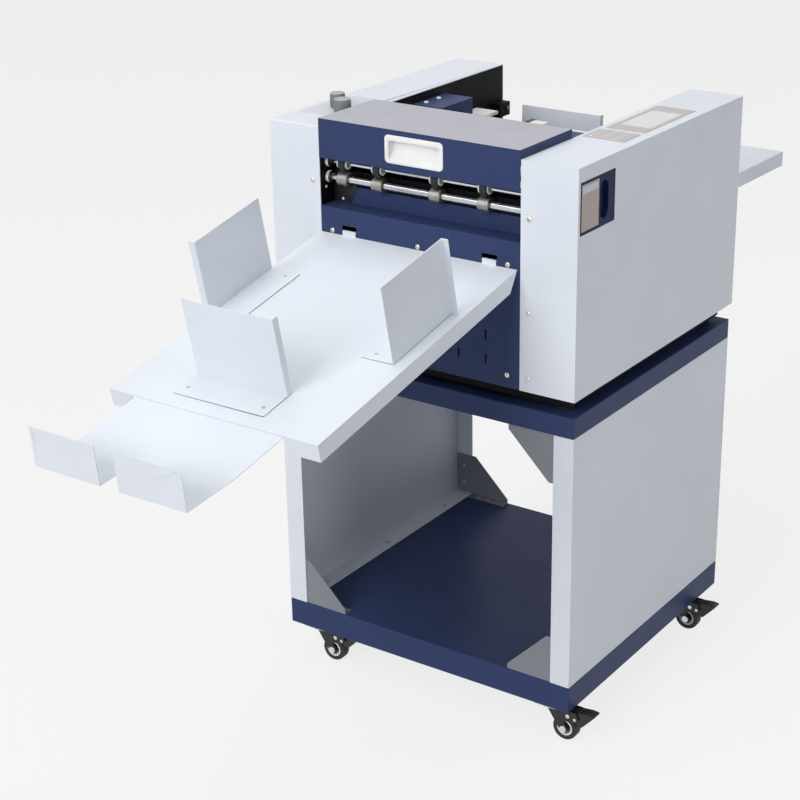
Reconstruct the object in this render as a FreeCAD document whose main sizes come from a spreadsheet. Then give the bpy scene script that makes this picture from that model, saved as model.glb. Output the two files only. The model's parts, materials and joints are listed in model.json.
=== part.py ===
import FreeCAD, Part
import os
import Sketcher
from types import SimpleNamespace

# Paper creasing machine on its own wheeled trolley. Millimetres, +Z up.
#
# X runs across the machine and +Y runs from the delivery side to the feed side. The pieces are
# laid out about the machine's middle plane (x = 0) and its delivery face (y = 0), with the floor
# at z = 0. The cells mid_x and front_y then put the origin at the bottom centre of the whole.

sizes = {
    # middle plane and delivery face in the part's own frame
    "mid_x": -22.0,
    "front_y": -148.7,
    # width of the trolley and of the machine that stands on it
    "body_width": 640.0,
    # trolley: a base pan, two side panels and a shelf pan
    "trolley_depth": 603.0,
    "caster_height": 72.0,
    "base_depth": 53.0,
    "panel_height": 492.5,
    "shelf_depth": 38.5,
    "post_width": 40.0,
    "trolley_sheet": 2.0,
    "pan_lip": 20.0,
    "gusset_leg": 93.0,
    "gusset_tip": 10.0,
    "gusset_flange": 18.0,
    # casters, each about its own swivel axis, with the wheel trailing towards +X
    "caster_inset": 53.0,
    "front_caster_y": 30.0,
    "rear_caster_inset": 78.0,
    "caster_strip": 60.0,
    "caster_trail": 34.0,
    "wheel_radius": 25.0,
    "tyre_width": 20.0,
    "tyre_shoulder": 3.0,
    "rim_radius": 16.0,
    "hub_boss_radius": 9.0,
    "axle_radius": 4.0,
    "kingpin_radius": 5.0,
    "caster_plate": 2.5,
    "caster_plate_length": 54.0,
    "caster_plate_width": 46.0,
    "race_radius": 19.0,
    "race_height": 3.7,
    "fork_gap": 23.0,
    "fork_sheet": 2.5,
    "crown_radius": 20.0,
    "kingpin_rim": 3.0,
    "kingpin_reach": 3.4,
    "kingpin_head": 5.0,
    "pedal_width": 21.6,
    "pedal_pin_radius": 3.0,
    "axle_head": 3.0,
    "pin_head": 1.2,
    "hub_web": 5.0,
    "rim_wall": 3.0,
    # cabinets: two closed side boxes with the paper throat between them
    "machine_depth": 612.0,
    "foot_height": 8.0,
    "foot_radius": 15.0,
    "foot_inset": 45.0,
    "plinth_height": 22.0,
    "plinth_inset": 20.0,
    "cabinet_height": 409.7,
    "cabinet_width": 110.0,
    "cabinet_sheet": 2.0,
    "deck_sheet": 3.0,
    "frame_plate": 4.0,
    "frame_flange": 30.0,
    "seat_gap": 0.3,
    # hinged top cover
    "cover_rise": 15.8,
    "cover_front": 1.5,
    "cover_depth": 169.0,
    "cover_front_drop": 71.2,
    "cover_skirt": 27.5,
    "cover_sheet": 1.5,
    "cover_gap": 1.0,
    "hinge_y": 150.0,
    "hinge_drop": 23.0,
    "hinge_pin_radius": 3.0,
    "hinge_head": 2.5,
    "hinge_head_rise": 2.0,
    "handle_width": 121.0,
    "handle_height": 50.0,
    "handle_shift": -4.5,
    "handle_drop": 9.5,
    "handle_rim": 8.0,
    "handle_lip": 2.0,
    "handle_pocket": 15.0,
    # apron, rear panel and their hook slots
    "apron_height": 266.0,
    "apron_sheet": 1.5,
    "apron_ledge": 43.0,
    "rear_panel_height": 234.0,
    "ramp_length": 160.0,
    "ramp_rise": 88.0,
    "vent_x": 140.2,
    "inner_vent_x": 84.12,
    "vent_level": 89.0,
    "vent_width": 3.0,
    "vent_height": 17.5,
    "slot_x": 148.0,
    "slot_width": 31.0,
    "slot_height": 11.7,
    "slot_above_table": 6.2,
    "hook_width": 28.0,
    # paper path, measured up from the underside of the cabinets
    "paper_level": 328.5,
    "exit_y": 27.0,
    "exit_drop": 2.2,
    "nip_gap": 0.7,
    "drive_shaft_radius": 7.5,
    "idler_shaft_radius": 4.0,
    "collar_radius": 12.3,
    "collar_width": 25.0,
    "idler_radius": 16.2,
    "idler_width": 25.0,
    "collar_one_x": -174.0,
    "collar_two_x": -99.0,
    "collar_three_x": 23.0,
    "collar_four_x": 124.0,
    "bearing_wall": 3.0,
    "bush_radius": 10.8,
    "bush_reach": 6.0,
    "shaft_play": 0.05,
    "shaft_end": 6.0,
    "ring_inset": 1.0,
    "ring_width": 1.5,
    "ring_rise": 2.0,
    # creasing head
    "crease_y": 122.0,
    "anvil_depth": 36.0,
    "anvil_height": 27.0,
    "anvil_drop": 2.0,
    "groove_width": 3.0,
    "groove_depth": 4.0,
    "blade_thickness": 1.0,
    "blade_length": 340.0,
    "blade_lift": 3.5,
    "blade_height": 18.0,
    "beam_length": 390.0,
    "beam_depth": 20.0,
    "beam_height": 32.0,
    "post_radius": 6.0,
    "post_x": 183.0,
    "cam_radius": 11.0,
    "cam_throw": 3.5,
    "cam_width": 14.0,
    "cam_x": 120.0,
    "cam_gap": 1.0,
    "cam_shaft_radius": 6.0,
    "cam_gear_radius": 16.0,
    # feeder
    "infeed_inset": 182.0,
    "infeed_radius": 11.0,
    "infeed_shaft_radius": 6.0,
    "pressure_radius": 9.0,
    "block_size": 25.0,
    "block_depth": 18.0,
    "bridge_y": 290.0,
    "bridge_depth": 107.0,
    "bridge_level": 392.0,
    "bridge_flange": 22.0,
    "bridge_step": 37.0,
    "bracket_width": 66.0,
    "bracket_screw_inset": 16.0,
    "front_bracket_screw": 24.0,
    "rear_bracket_screw": 66.0,
    "rail_inset": 156.0,
    "rail_depth": 14.0,
    "rail_level": 331.0,
    "rail_height": 7.0,
    "pad_height": 6.0,
    "pad_overhang": 4.0,
    "side_pad_x": -176.5,
    "side_pad_width": 51.0,
    "side_pad_length": 48.0,
    "middle_pad_x": -35.0,
    "middle_pad_width": 30.0,
    "middle_pad_length": 22.0,
    "pad_clip_width": 12.0,
    "pad_clip_length": 27.0,
    "rear_block_depth": 38.0,
    "rear_block_level": 310.0,
    "rear_block_height": 27.0,
    # drive
    "motor_y": 200.0,
    "motor_level": 115.0,
    "motor_radius": 42.0,
    "motor_length": 110.0,
    "motor_shaft_radius": 5.0,
    "balance_radius": 30.0,
    "pulley_radius": 11.0,
    "pulley_rim": 0.5,
    "pulley_width": 10.0,
    "belt_thickness": 2.0,
    "belt_gap": 0.3,
    # controls
    "panel_thickness": 1.2,
    "keypad_front": 187.0,
    "keypad_depth": 62.0,
    "keypad_width": 81.0,
    "keypad_shift": -6.5,
    "display_front": 262.0,
    "display_depth": 193.0,
    "display_width": 77.0,
    "display_shift": -3.5,
    "screen_front": 33.0,
    "screen_rear": 37.0,
    "screen_side": 8.0,
    "door_depth": 115.6,
    "door_height": 90.5,
    "door_front": 7.4,
    "door_level": 293.4,
    "door_sheet": 1.5,
    "door_pin_radius": 0.7,
    "door_pin_inset": 1.0,
    "door_hinge_gap": 0.6,
    "recess_width": 27.0,
    "recess_height": 66.0,
    "recess_from_edge": 36.4,
    "recess_depth": 7.5,
    "front_knob_radius": 15.8,
    "rear_knob_radius": 14.1,
    "knob_height": 28.0,
    "knob_stem_radius": 3.0,
    "pointer_width": 1.6,
    "front_knob_x": -231.0,
    "front_knob_y": 100.2,
    "rear_knob_x": -267.7,
    "rear_knob_y": 134.6,
    "inlet_level": 46.0,
    "inlet_width": 28.0,
    "inlet_height": 48.0,
    "inlet_rim": 4.0,
    "inlet_bezel": 2.0,
    "inlet_body": 24.0,
    "socket_depth": 16.0,
    "socket_height": 16.0,
    "rocker_height": 15.0,
    "rocker_window": 18.0,
    "rocker_depth": 8.0,
    "rocker_pin_radius": 1.5,
    # sheet-metal tables
    "table_width": 417.0,
    "table_shift": -4.4,
    "table_sheet": 1.5,
    "table_flange": 31.0,
    "tray_level": 218.0,
    "tray_length": 570.0,
    "tray_slope": 11.87,
    "tray_chamfer": 30.0,
    "feed_level": 189.0,
    "feed_length": 471.0,
    "feed_slope": -0.75,
    "extension_width": 297.0,
    "extension_shift": -9.5,
    "extension_overlap": 220.0,
    "extension_reach": 117.0,
    "extension_nose": 107.0,
    "extension_lift": 5.87,
    "extension_tab": 67.0,
    "extension_notch": 37.0,
    "extension_notch_depth": 60.0,
    "extension_travel": 110.0,
    "extension_hole_radius": 2.2,
    "extension_hole_inset": 9.0,
    "tray_notch_side": 5.0,
    "tray_notch_flare": 20.0,
    "rail_lip": 8.0,
    # paper guides standing on the tables
    "guide_length": 172.0,
    "stop_length": 182.0,
    "guide_height": 138.0,
    "guide_base": 62.0,
    "guide_flange": 12.0,
    "guide_sheet": 1.5,
    "magnet_sheet": 0.8,
    "glide_gap": 0.03,
    "left_guide_x": -208.6,
    "left_guide_front": 322.0,
    "right_guide_x": 180.0,
    "right_guide_front": 337.0,
    "front_stop_x": -13.0,
    "front_stop_inset": 92.0,
    "backstop_x": -84.5,
    "backstop_place": 16.0,
    # fasteners
    "screw_radius": 4.5,
    "screw_head": 2.0,
    "cabinet_screw_inset": 16.5,
    "screw_high": 309.7,
    "screw_middle": 143.0,
    "screw_low": 23.4,
    "apron_screw_x": 185.0,
    "apron_screw_level": 223.5,
}

doc = FreeCAD.newDocument("PaperCreaser")
sheet = doc.addObject("Spreadsheet::Sheet", "Sizes")
for row, (name, number) in enumerate(sizes.items(), 1):
    sheet.set(f"A{row}", name)
    sheet.set(f"B{row}", str(number))
    sheet.setAlias(f"B{row}", name)
doc.recompute()


# ---- sizes as expressions ----------------------------------------------------------------

def text_of(size):
    """The expression text of a Size or of a plain number."""
    return size.text if isinstance(size, Size) else f"({size})"


class Size:
    """A length or an angle worked out from the sheet's cells, kept as an expression."""

    def __init__(self, text):
        self.text = text

    def __add__(self, other):
        return Size(f"({self.text} + {text_of(other)})")

    def __radd__(self, other):
        return Size(f"({text_of(other)} + {self.text})")

    def __sub__(self, other):
        return Size(f"({self.text} - {text_of(other)})")

    def __rsub__(self, other):
        return Size(f"({text_of(other)} - {self.text})")

    def __mul__(self, other):
        return Size(f"({self.text} * {text_of(other)})")

    __rmul__ = __mul__

    def __truediv__(self, other):
        return Size(f"({self.text} / {text_of(other)})")

    def __neg__(self):
        return Size(f"(0 - {self.text})")


def sine(angle):
    return Size(f"sin({text_of(angle)})")


def cosine(angle):
    return Size(f"cos({text_of(angle)})")


def about(centre, width):
    """The (low, high) pair of a stretch of the given width about a centre."""
    return (centre - width / 2, centre + width / 2)


s = SimpleNamespace(**{name: Size(f"Sizes.{name}") for name in sizes})


# ---- solids ------------------------------------------------------------------------------

AXES = {
    "x": FreeCAD.Vector(1, 0, 0),
    "y": FreeCAD.Vector(0, 1, 0),
    "z": FreeCAD.Vector(0, 0, 1),
}
# turns that lay something built along Z along X, Y or Z
LAY = {
    "x": FreeCAD.Rotation(AXES["y"], 90),
    "y": FreeCAD.Rotation(AXES["x"], -90),
    "z": FreeCAD.Rotation(),
}
SKETCH_PLANES = {"x": "YZ_Plane", "y": "XZ_Plane", "z": "XY_Plane"}


def put(obj, x=0, y=0, z=0):
    """Bind an object's place."""
    for name, size in zip("xyz", (x, y, z)):
        obj.setExpression(f".Placement.Base.{name}", text_of(size))
    return obj


def tilt(obj, angle):
    """Turn an object about X by an angle of the sheet, before it is placed."""
    obj.Placement = FreeCAD.Placement(FreeCAD.Vector(), FreeCAD.Rotation(AXES["x"], 1))
    obj.setExpression(".Placement.Rotation.Angle", text_of(angle))
    return obj


def block(x, y, z):
    """A box, given by its (low, high) stretch along each axis."""
    box = doc.addObject("Part::Box", "Block")
    for side, (low, high) in zip(("Length", "Width", "Height"), (x, y, z)):
        box.setExpression(side, text_of(high - low))
    return put(box, x[0], y[0], z[0])


def rod(radius, x, y, z):
    """A cylinder: its own axis is given as (low, high), the other two as its centre."""
    places = {"x": x, "y": y, "z": z}
    axis = next(name for name, place in places.items() if isinstance(place, tuple))
    low, high = places[axis]
    places[axis] = low
    cylinder = doc.addObject("Part::Cylinder", "Rod")
    cylinder.setExpression("Radius", text_of(radius))
    cylinder.setExpression("Height", text_of(high - low))
    cylinder.Placement = FreeCAD.Placement(FreeCAD.Vector(), LAY[axis])
    return put(cylinder, places["x"], places["y"], places["z"])


def sketched(body, plane, points):
    """A closed outline on one of the body's origin planes, its corners bound to the sheet."""
    origin_plane = next(part for part in body.Origin.OriginFeatures if part.Role == plane)
    sketch = body.newObject("Sketcher::SketchObject", "Outline")
    sketch.AttachmentSupport = [(origin_plane, "")]
    sketch.MapMode = "FlatFace"
    corners = [
        FreeCAD.Vector(*[float(sheet.evalExpression(text_of(size))) for size in corner], 0)
        for corner in points
    ]
    count = len(corners)
    for i in range(count):
        sketch.addGeometry(Part.LineSegment(corners[i], corners[(i + 1) % count]), False)
    for i in range(count):
        sketch.addConstraint(Sketcher.Constraint("Coincident", i, 2, (i + 1) % count, 1))
    for i, (u, v) in enumerate(points):
        for kind, size, place in (("DistanceX", u, corners[i].x), ("DistanceY", v, corners[i].y)):
            number = sketch.addConstraint(Sketcher.Constraint(kind, -1, 1, i, 1, place))
            sketch.setExpression(f"Constraints[{number}]", text_of(size))
    return sketch


def prism(axis, low, high, points):
    """An outline carried along an axis. Its corners are (y, z), (x, z) or (x, y)."""
    body = doc.addObject("PartDesign::Body", "Prism")
    sketch = sketched(body, SKETCH_PLANES[axis], points)
    pad = body.newObject("PartDesign::Pad", "Pad")
    pad.Profile = sketch
    pad.setExpression("Length", text_of(high - low))
    # the XZ plane faces -Y, so that pad grows from the high end down
    return put(body, **{axis: high if axis == "y" else low})


def turned(axis, x, y, z, points):
    """A profile of (radius, place along the axis) corners turned about an axis."""
    body = doc.addObject("PartDesign::Body", "Turned")
    sketch = sketched(body, "XZ_Plane", points)
    revolution = body.newObject("PartDesign::Revolution", "Revolution")
    revolution.Profile = sketch
    revolution.ReferenceAxis = (sketch, ["V_Axis"])
    revolution.Angle = 360
    body.Placement = FreeCAD.Placement(FreeCAD.Vector(), LAY[axis])
    return put(body, x, y, z)


def join(*objs):
    """One solid, or one set of tools, from several."""
    if len(objs) == 1:
        return objs[0]
    fuse = doc.addObject("Part::MultiFuse", "Join")
    fuse.Shapes = list(objs)
    fuse.Refine = True
    return fuse


def cut(base, *tools):
    """The base with every tool taken out of it."""
    rest = doc.addObject("Part::Cut", "Cut")
    rest.Base = base
    rest.Tool = join(*tools)
    rest.Refine = True
    return rest


def group(*objs):
    """Several solids kept apart in one node."""
    compound = doc.addObject("Part::Compound", "Group")
    compound.Links = list(objs)
    return compound


def mirrored(obj, axis, plane=0):
    """The mirror image of an object in the plane that stands across an axis."""
    mirror = doc.addObject("Part::Mirroring", "Mirror")
    mirror.Source = obj
    mirror.Normal = AXES[axis]
    mirror.setExpression(f".Base.{axis}", text_of(plane))
    return mirror


def pair(obj, axis, plane=0):
    """An object and its mirror image."""
    return group(obj, mirrored(obj, axis, plane))


pieces = []


def piece(label, obj, x=0, y=0, z=0, slope=None):
    """Name one node and place it in the part's frame."""
    obj.Label = label
    if slope is not None:
        tilt(obj, slope)
    put(obj, s.mid_x + x, s.front_y + y, z)
    pieces.append(obj)
    return obj


# ---- levels and faces that several pieces share --------------------------------------------

half_width = s.body_width / 2
base_top = s.caster_height + s.base_depth
shelf_bottom = base_top + s.panel_height
shelf_top = shelf_bottom + s.shelf_depth
plinth_bottom = shelf_top + s.foot_height
deck = plinth_bottom + s.plinth_height
deck_top = deck + s.deck_sheet
cabinet_top = deck + s.cabinet_height
cover_top = cabinet_top + s.cover_rise
throat = half_width - s.cabinet_width
frame_outer = throat + s.frame_plate
tray_z = deck + s.tray_level
feed_z = deck + s.feed_level
caster_x = half_width - s.caster_inset
rear_caster_y = s.trolley_depth - s.rear_caster_inset
infeed_y = s.machine_depth - s.infeed_inset


# ---- trolley -------------------------------------------------------------------------------

def pan(x, y, z, sheet_thickness, lip):
    """A folded sheet-metal pan, open below but for a lip all round."""
    inside = [(low + sheet_thickness, high - sheet_thickness) for low, high in (x, y)]
    mouth = [(low + lip, high - lip) for low, high in (x, y)]
    return cut(
        block(x, y, z),
        block(*inside, (z[0] + sheet_thickness, z[1] - sheet_thickness)),
        block(*mouth, (z[0] - 1, z[0] + sheet_thickness + 1)),
    )


def trolley_base():
    across = (-half_width, half_width)
    along = (0, s.trolley_depth)
    body = pan(across, along, (s.caster_height, base_top), s.trolley_sheet, s.pan_lip)
    inside = (s.trolley_sheet - half_width, half_width - s.trolley_sheet)
    strips = [
        block(inside, about(row, s.caster_strip), (s.caster_height, s.caster_height + s.trolley_sheet))
        for row in (s.front_caster_y, rear_caster_y)
    ]
    return piece("trolley_base", join(body, *strips))


def trolley_shelf():
    across = (-half_width, half_width)
    return piece(
        "trolley_shelf",
        pan(across, (0, s.trolley_depth), (shelf_bottom, shelf_top), s.trolley_sheet, s.post_width),
    )


def trolley_panel(side):
    """A side panel folded into a channel: posts front and rear, flanges above and below."""
    outer = half_width * side
    inner = (half_width - s.post_width) * side
    skin = (half_width - s.trolley_sheet) * side
    beyond = (half_width - s.post_width - 1) * side
    across = (outer, inner) if side < 0 else (inner, outer)
    hollow = (skin, beyond) if side < 0 else (beyond, skin)
    return piece(
        "trolley_left_panel" if side < 0 else "trolley_right_panel",
        cut(
            block(across, (0, s.trolley_depth), (base_top, shelf_bottom)),
            block(
                hollow,
                (s.trolley_sheet, s.trolley_depth - s.trolley_sheet),
                (base_top + s.trolley_sheet, shelf_bottom - s.trolley_sheet),
            ),
        ),
    )


def gussets():
    """Eight corner gussets: each a web behind the post flange with a flange on the pan."""
    web_front = s.trolley_sheet
    web_back = web_front + s.trolley_sheet
    root = half_width - s.trolley_sheet
    post_edge = half_width - s.post_width
    foot = base_top + s.trolley_sheet
    tip = post_edge - s.gusset_leg
    web = prism("y", web_front, web_back, [
        (tip, base_top),
        (post_edge - 1, base_top),
        (post_edge - 1, foot),
        (root, foot),
        (root, base_top + s.gusset_leg),
        (post_edge - s.gusset_tip, base_top + s.gusset_leg),
        (tip, base_top + s.gusset_tip),
    ])
    flange = block((tip, post_edge - 1), (web_front, web_back + s.gusset_flange), (base_top, foot))
    corner = join(web, flange)
    four = pair(pair(corner, "x"), "y", s.trolley_depth / 2)
    return piece("gussets", pair(four, "z", (base_top + shelf_bottom) / 2))


# ---- casters -------------------------------------------------------------------------------

casters = {
    "front_left": (-caster_x, s.front_caster_y),
    "front_right": (caster_x, s.front_caster_y),
    "rear_left": (-caster_x, rear_caster_y),
    "rear_right": (caster_x, rear_caster_y),
}
# the outlines of the fork and the pedal are drawn for a 50 mm wheel and grow with it
unit = s.wheel_radius / 25
plate_bottom = s.caster_height - s.caster_plate
race_bottom = plate_bottom - s.race_height
crown_top = race_bottom - s.seat_gap
crown_bottom = crown_top - s.fork_sheet
leg_inner = s.fork_gap / 2
leg_outer = leg_inner + s.fork_sheet
pedal_pin_x = unit * 43
pedal_pin_z = unit * 55


def grown(points):
    return [(unit * x, unit * z) for x, z in points]


def caster_plates():
    """The fixed part of each caster: its plate, the ball race under it and the kingpin."""
    fixed = []
    for x, y in casters.values():
        across = about(x, s.caster_plate_width)
        along = about(y, s.caster_plate_length)
        plate = block(across, along, (plate_bottom, s.caster_height))
        race = rod(s.race_radius, x, y, (race_bottom, plate_bottom))
        pin = rod(s.kingpin_radius, x, y, (crown_bottom - s.kingpin_reach, race_bottom))
        head_top = crown_bottom - s.seat_gap
        head = rod(s.kingpin_radius + s.kingpin_rim, x, y, (head_top - s.kingpin_head, head_top))
        fixed.append(join(plate, race, pin, head))
    return piece("caster_plates", group(*fixed))


def headed(radius, x, z, head):
    """A bolt or pin through both legs of a fork, with a head at each end."""
    return join(
        rod(radius, x, (-leg_outer - head, leg_outer + head), z),
        rod(radius + head * 0.9, x, (-leg_outer - head * 0.9, -leg_outer), z),
        rod(radius + head * 0.9, x, (leg_outer, leg_outer + head * 0.9), z),
    )


def caster_fork_solids():
    """A pressed fork, its axle bolt and the pin that the brake pedal turns on."""
    heel = unit * 4
    crown = rod(s.crown_radius, 0, 0, (crown_bottom, crown_top))
    bridge = block((-heel, unit * 33), (-leg_outer, leg_outer), (crown_bottom, crown_top))
    rivet = s.pin_head * 2.5
    leg = join(
        prism("y", leg_inner, leg_outer, [
            (-heel, crown_top),
            (s.caster_trail - unit * 8, unit * 22),
            (s.caster_trail + unit * 7, unit * 24),
            (s.caster_trail, unit * 42),
            (unit * 58, unit * 44),
            (unit * 66, unit * 53),
            (unit * 60, crown_top),
        ]),
        rod(s.axle_radius * 2, s.caster_trail, (leg_inner, leg_outer), s.wheel_radius),
        rod(rivet, unit * 58, (leg_inner, leg_outer + s.pin_head), unit * 52),
    )
    across = (-leg_outer - 1, leg_outer + 1)
    drilled = cut(
        join(crown, bridge, leg, mirrored(leg, "y")),
        rod(s.kingpin_radius + s.shaft_play, 0, 0, (crown_bottom - 1, crown_top + 1)),
        rod(s.axle_radius + s.shaft_play, s.caster_trail, across, s.wheel_radius),
        rod(s.pedal_pin_radius + s.shaft_play, pedal_pin_x, across, pedal_pin_z),
    )
    bolt = headed(s.axle_radius, s.caster_trail, s.wheel_radius, s.axle_head)
    pin = headed(s.pedal_pin_radius, pedal_pin_x, pedal_pin_z, s.pin_head)
    return [drilled, bolt, pin]


def caster_hub_solid():
    boss = leg_inner - s.seat_gap
    rim = s.tyre_width / 2 - 1
    bore = s.axle_radius + s.shaft_play
    return turned("y", s.caster_trail, 0, s.wheel_radius, [
        (bore, -boss),
        (s.hub_boss_radius, -boss),
        (s.hub_boss_radius, -s.hub_web / 2),
        (s.rim_radius - s.rim_wall, -s.hub_web / 2),
        (s.rim_radius - s.rim_wall, -rim),
        (s.rim_radius, -rim),
        (s.rim_radius, rim),
        (s.rim_radius - s.rim_wall, rim),
        (s.rim_radius - s.rim_wall, s.hub_web / 2),
        (s.hub_boss_radius, s.hub_web / 2),
        (s.hub_boss_radius, boss),
        (bore, boss),
    ])


def caster_tyre_solid():
    half = s.tyre_width / 2
    shoulder = s.tyre_shoulder
    return turned("y", s.caster_trail, 0, s.wheel_radius, [
        (s.rim_radius, -half + 1),
        (s.rim_radius + shoulder, -half),
        (s.wheel_radius - shoulder * 0.8, -half),
        (s.wheel_radius - shoulder / 4, -half + shoulder / 4),
        (s.wheel_radius, -half + shoulder),
        (s.wheel_radius, half - shoulder),
        (s.wheel_radius - shoulder / 4, half - shoulder / 4),
        (s.wheel_radius - shoulder * 0.8, half),
        (s.rim_radius + shoulder, half),
        (s.rim_radius, half - 1),
    ])


def caster_pedal_solid():
    """The brake pedal, with the shoe that it presses on the tyre."""
    half = s.pedal_width / 2
    pedal = prism("y", -half, half, grown([
        (37, 52.6),
        (46.5, 51.8),
        (47, 50),
        (51.5, 46.5),
        (56, 43),
        (62, 40),
        (71, 37.5),
        (97, 66),
        (95.5, 68.5),
        (84, 69.8),
        (60, 66.8),
        (38, 62),
        (36, 57.5),
    ]))
    bore = rod(s.pedal_pin_radius + s.shaft_play, pedal_pin_x, (-half - 1, half + 1), pedal_pin_z)
    return cut(pedal, bore)


def caster_pieces():
    fork = caster_fork_solids()
    hub = caster_hub_solid()
    tyre = caster_tyre_solid()
    pedal = caster_pedal_solid()
    for place, (x, y) in casters.items():
        piece(f"caster_fork_{place}", group(*fork), x, y)
        piece(f"caster_hub_{place}", group(hub), x, y)
        piece(f"caster_tyre_{place}", group(tyre), x, y)
        piece(f"caster_pedal_{place}", group(pedal), x, y)


# ---- cabinets and frames -------------------------------------------------------------------

def chassis_base():
    """The black plinth pan with the deck plate that carries both side frames."""
    reach = half_width - s.plinth_inset
    across = (-reach, reach)
    along = (s.plinth_inset, s.machine_depth - s.plinth_inset)
    plinth = pan(across, along, (plinth_bottom, deck), s.deck_sheet, s.foot_inset)
    inset = s.cabinet_sheet + s.seat_gap
    plate = block(
        (inset - half_width, half_width - inset), (inset, s.machine_depth - inset), (deck, deck_top)
    )
    return piece("chassis_base", join(plinth, plate))


def rubber_feet():
    inset = s.plinth_inset + s.foot_inset / 2
    x = half_width - inset
    foot = cut(
        rod(s.foot_radius, x, inset, (shelf_top, plinth_bottom)),
        rod(s.foot_radius / 3, x, inset, (shelf_top - 1, shelf_top + s.foot_height / 2)),
    )
    return piece("rubber_feet", pair(pair(foot, "x"), "y", s.machine_depth / 2))


door_along = (s.door_front, s.door_front + s.door_depth)
door_up = (deck + s.door_level, deck + s.door_level + s.door_height)
door_pin_x = half_width - s.door_pin_inset
door_pin_y = s.door_front + s.door_pin_inset
knobs = {
    "front_adjust_knob": (s.front_knob_radius, s.front_knob_x, s.front_knob_y),
    "rear_adjust_knob": (s.rear_knob_radius, s.rear_knob_x, s.rear_knob_y),
}


def side_cover(side):
    """The folded white shell of one cabinet, open towards its frame and below."""
    skin = half_width - s.cabinet_sheet
    shell = cut(
        block((throat, half_width), (0, s.machine_depth), (deck, cabinet_top)),
        block(
            (throat - 1, skin),
            (s.cabinet_sheet, s.machine_depth - s.cabinet_sheet),
            (deck - 1, cabinet_top - s.cabinet_sheet),
        ),
    )
    if side > 0:
        shell = cut(
            shell,
            block(
                (skin - 1, half_width + 1),
                (door_along[0] - s.door_hinge_gap, door_along[1] + s.seat_gap),
                (door_up[0] - s.seat_gap, door_up[1] + s.seat_gap),
            ),
            rod(s.door_pin_radius + s.shaft_play, door_pin_x, door_pin_y, (door_up[0] - 4, door_up[1] + 4)),
            block(
                about(inlet_x, s.inlet_width),
                (s.machine_depth - s.cabinet_sheet - 1, s.machine_depth + 1),
                about(inlet_z, s.inlet_height),
            ),
        )
        return piece("right_side_cover", shell)
    stem_holes = [
        rod(s.knob_stem_radius + s.shaft_play, -x, y, (cabinet_top - s.cabinet_sheet - 1, cabinet_top + 1))
        for _, x, y in knobs.values()
    ]
    return piece("left_side_cover", group(mirrored(cut(shell, *stem_holes), "x")))


exit_nip = deck + s.paper_level - s.exit_drop
exit_drive_z = exit_nip - s.nip_gap / 2 - s.collar_radius
exit_idler_z = exit_nip + s.nip_gap / 2 + s.idler_radius
infeed_z = deck + s.paper_level - s.nip_gap / 2 - s.infeed_radius
pressure_z = deck + s.paper_level + s.nip_gap / 2 + s.pressure_radius
anvil_top = deck + s.paper_level - s.anvil_drop
blade_bottom = deck + s.paper_level + s.blade_lift
beam_bottom = blade_bottom + s.blade_height - s.blade_height / 3
beam_top = beam_bottom + s.beam_height
cam_z = beam_top + s.cam_gap + s.cam_radius - s.cam_throw
motor_z = deck + s.motor_level
hinge_z = cover_top - s.hinge_drop
inlet_x = half_width - s.cabinet_width / 2
inlet_z = deck + s.inlet_level

# every shaft that turns in the side frames: radius, y, z
shafts = [
    (s.drive_shaft_radius, s.exit_y, exit_drive_z),
    (s.idler_shaft_radius, s.exit_y, exit_idler_z),
    (s.cam_shaft_radius, s.crease_y, cam_z),
    (s.infeed_shaft_radius, infeed_y, infeed_z),
    (s.infeed_shaft_radius, infeed_y, pressure_z),
]


def side_frame(side):
    """The black frame plate of one cabinet, flanged front and rear, bored for the shafts."""
    front = s.cabinet_sheet + s.seat_gap
    rear = s.machine_depth - front
    top = cabinet_top - s.cabinet_sheet - s.seat_gap
    edge = throat + s.frame_flange
    channel = cut(
        block((throat, edge), (front, rear), (deck_top, top)),
        block(
            (frame_outer, edge + 1),
            (front + s.frame_plate / 2, rear - s.frame_plate / 2),
            (deck_top - 1, top + 1),
        ),
    )
    block_low = deck + s.rear_block_level
    rear_block = block(
        (throat - s.block_depth, throat),
        (rear - s.rear_block_depth, rear),
        (block_low, block_low + s.rear_block_height),
    )
    channel = join(channel, rear_block)
    across = (throat - 1, frame_outer + 1)
    bores = [rod(radius + s.bearing_wall, across, y, z) for radius, y, z in shafts]
    bores.append(rod(s.hinge_pin_radius + s.shaft_play, across, s.hinge_y, hinge_z))
    if side > 0:
        bores.append(rod(s.pulley_radius, across, s.motor_y, motor_z))
        return piece("right_side_frame", cut(channel, *bores))
    return piece("left_side_frame", group(mirrored(cut(channel, *bores), "x")))


def shaft_bearings():
    """A flanged nylon bush in each frame bore, and the two infeed bearing blocks."""
    bushes = []
    for radius, y, z in shafts[:3]:
        wall = radius + s.bearing_wall
        bushes.append(cut(
            join(
                rod(wall - s.shaft_play / 2, (throat, frame_outer), y, z),
                rod(s.bush_radius, (throat - s.bush_reach, throat), y, z),
            ),
            rod(radius + s.shaft_play, (throat - s.bush_reach - 1, frame_outer + 1), y, z),
        ))
    top = pressure_z + s.infeed_shaft_radius + s.bearing_wall
    low = infeed_z - s.infeed_shaft_radius - s.bearing_wall
    holder = cut(
        block((throat - s.block_depth, throat), about(infeed_y, s.block_size), (low, top)),
        *[
            rod(radius + s.shaft_play, (throat - s.block_depth - 1, throat + 1), y, z)
            for radius, y, z in shafts[3:]
        ],
    )
    return piece("shaft_bearings", pair(group(*bushes, holder), "x"))


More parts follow.
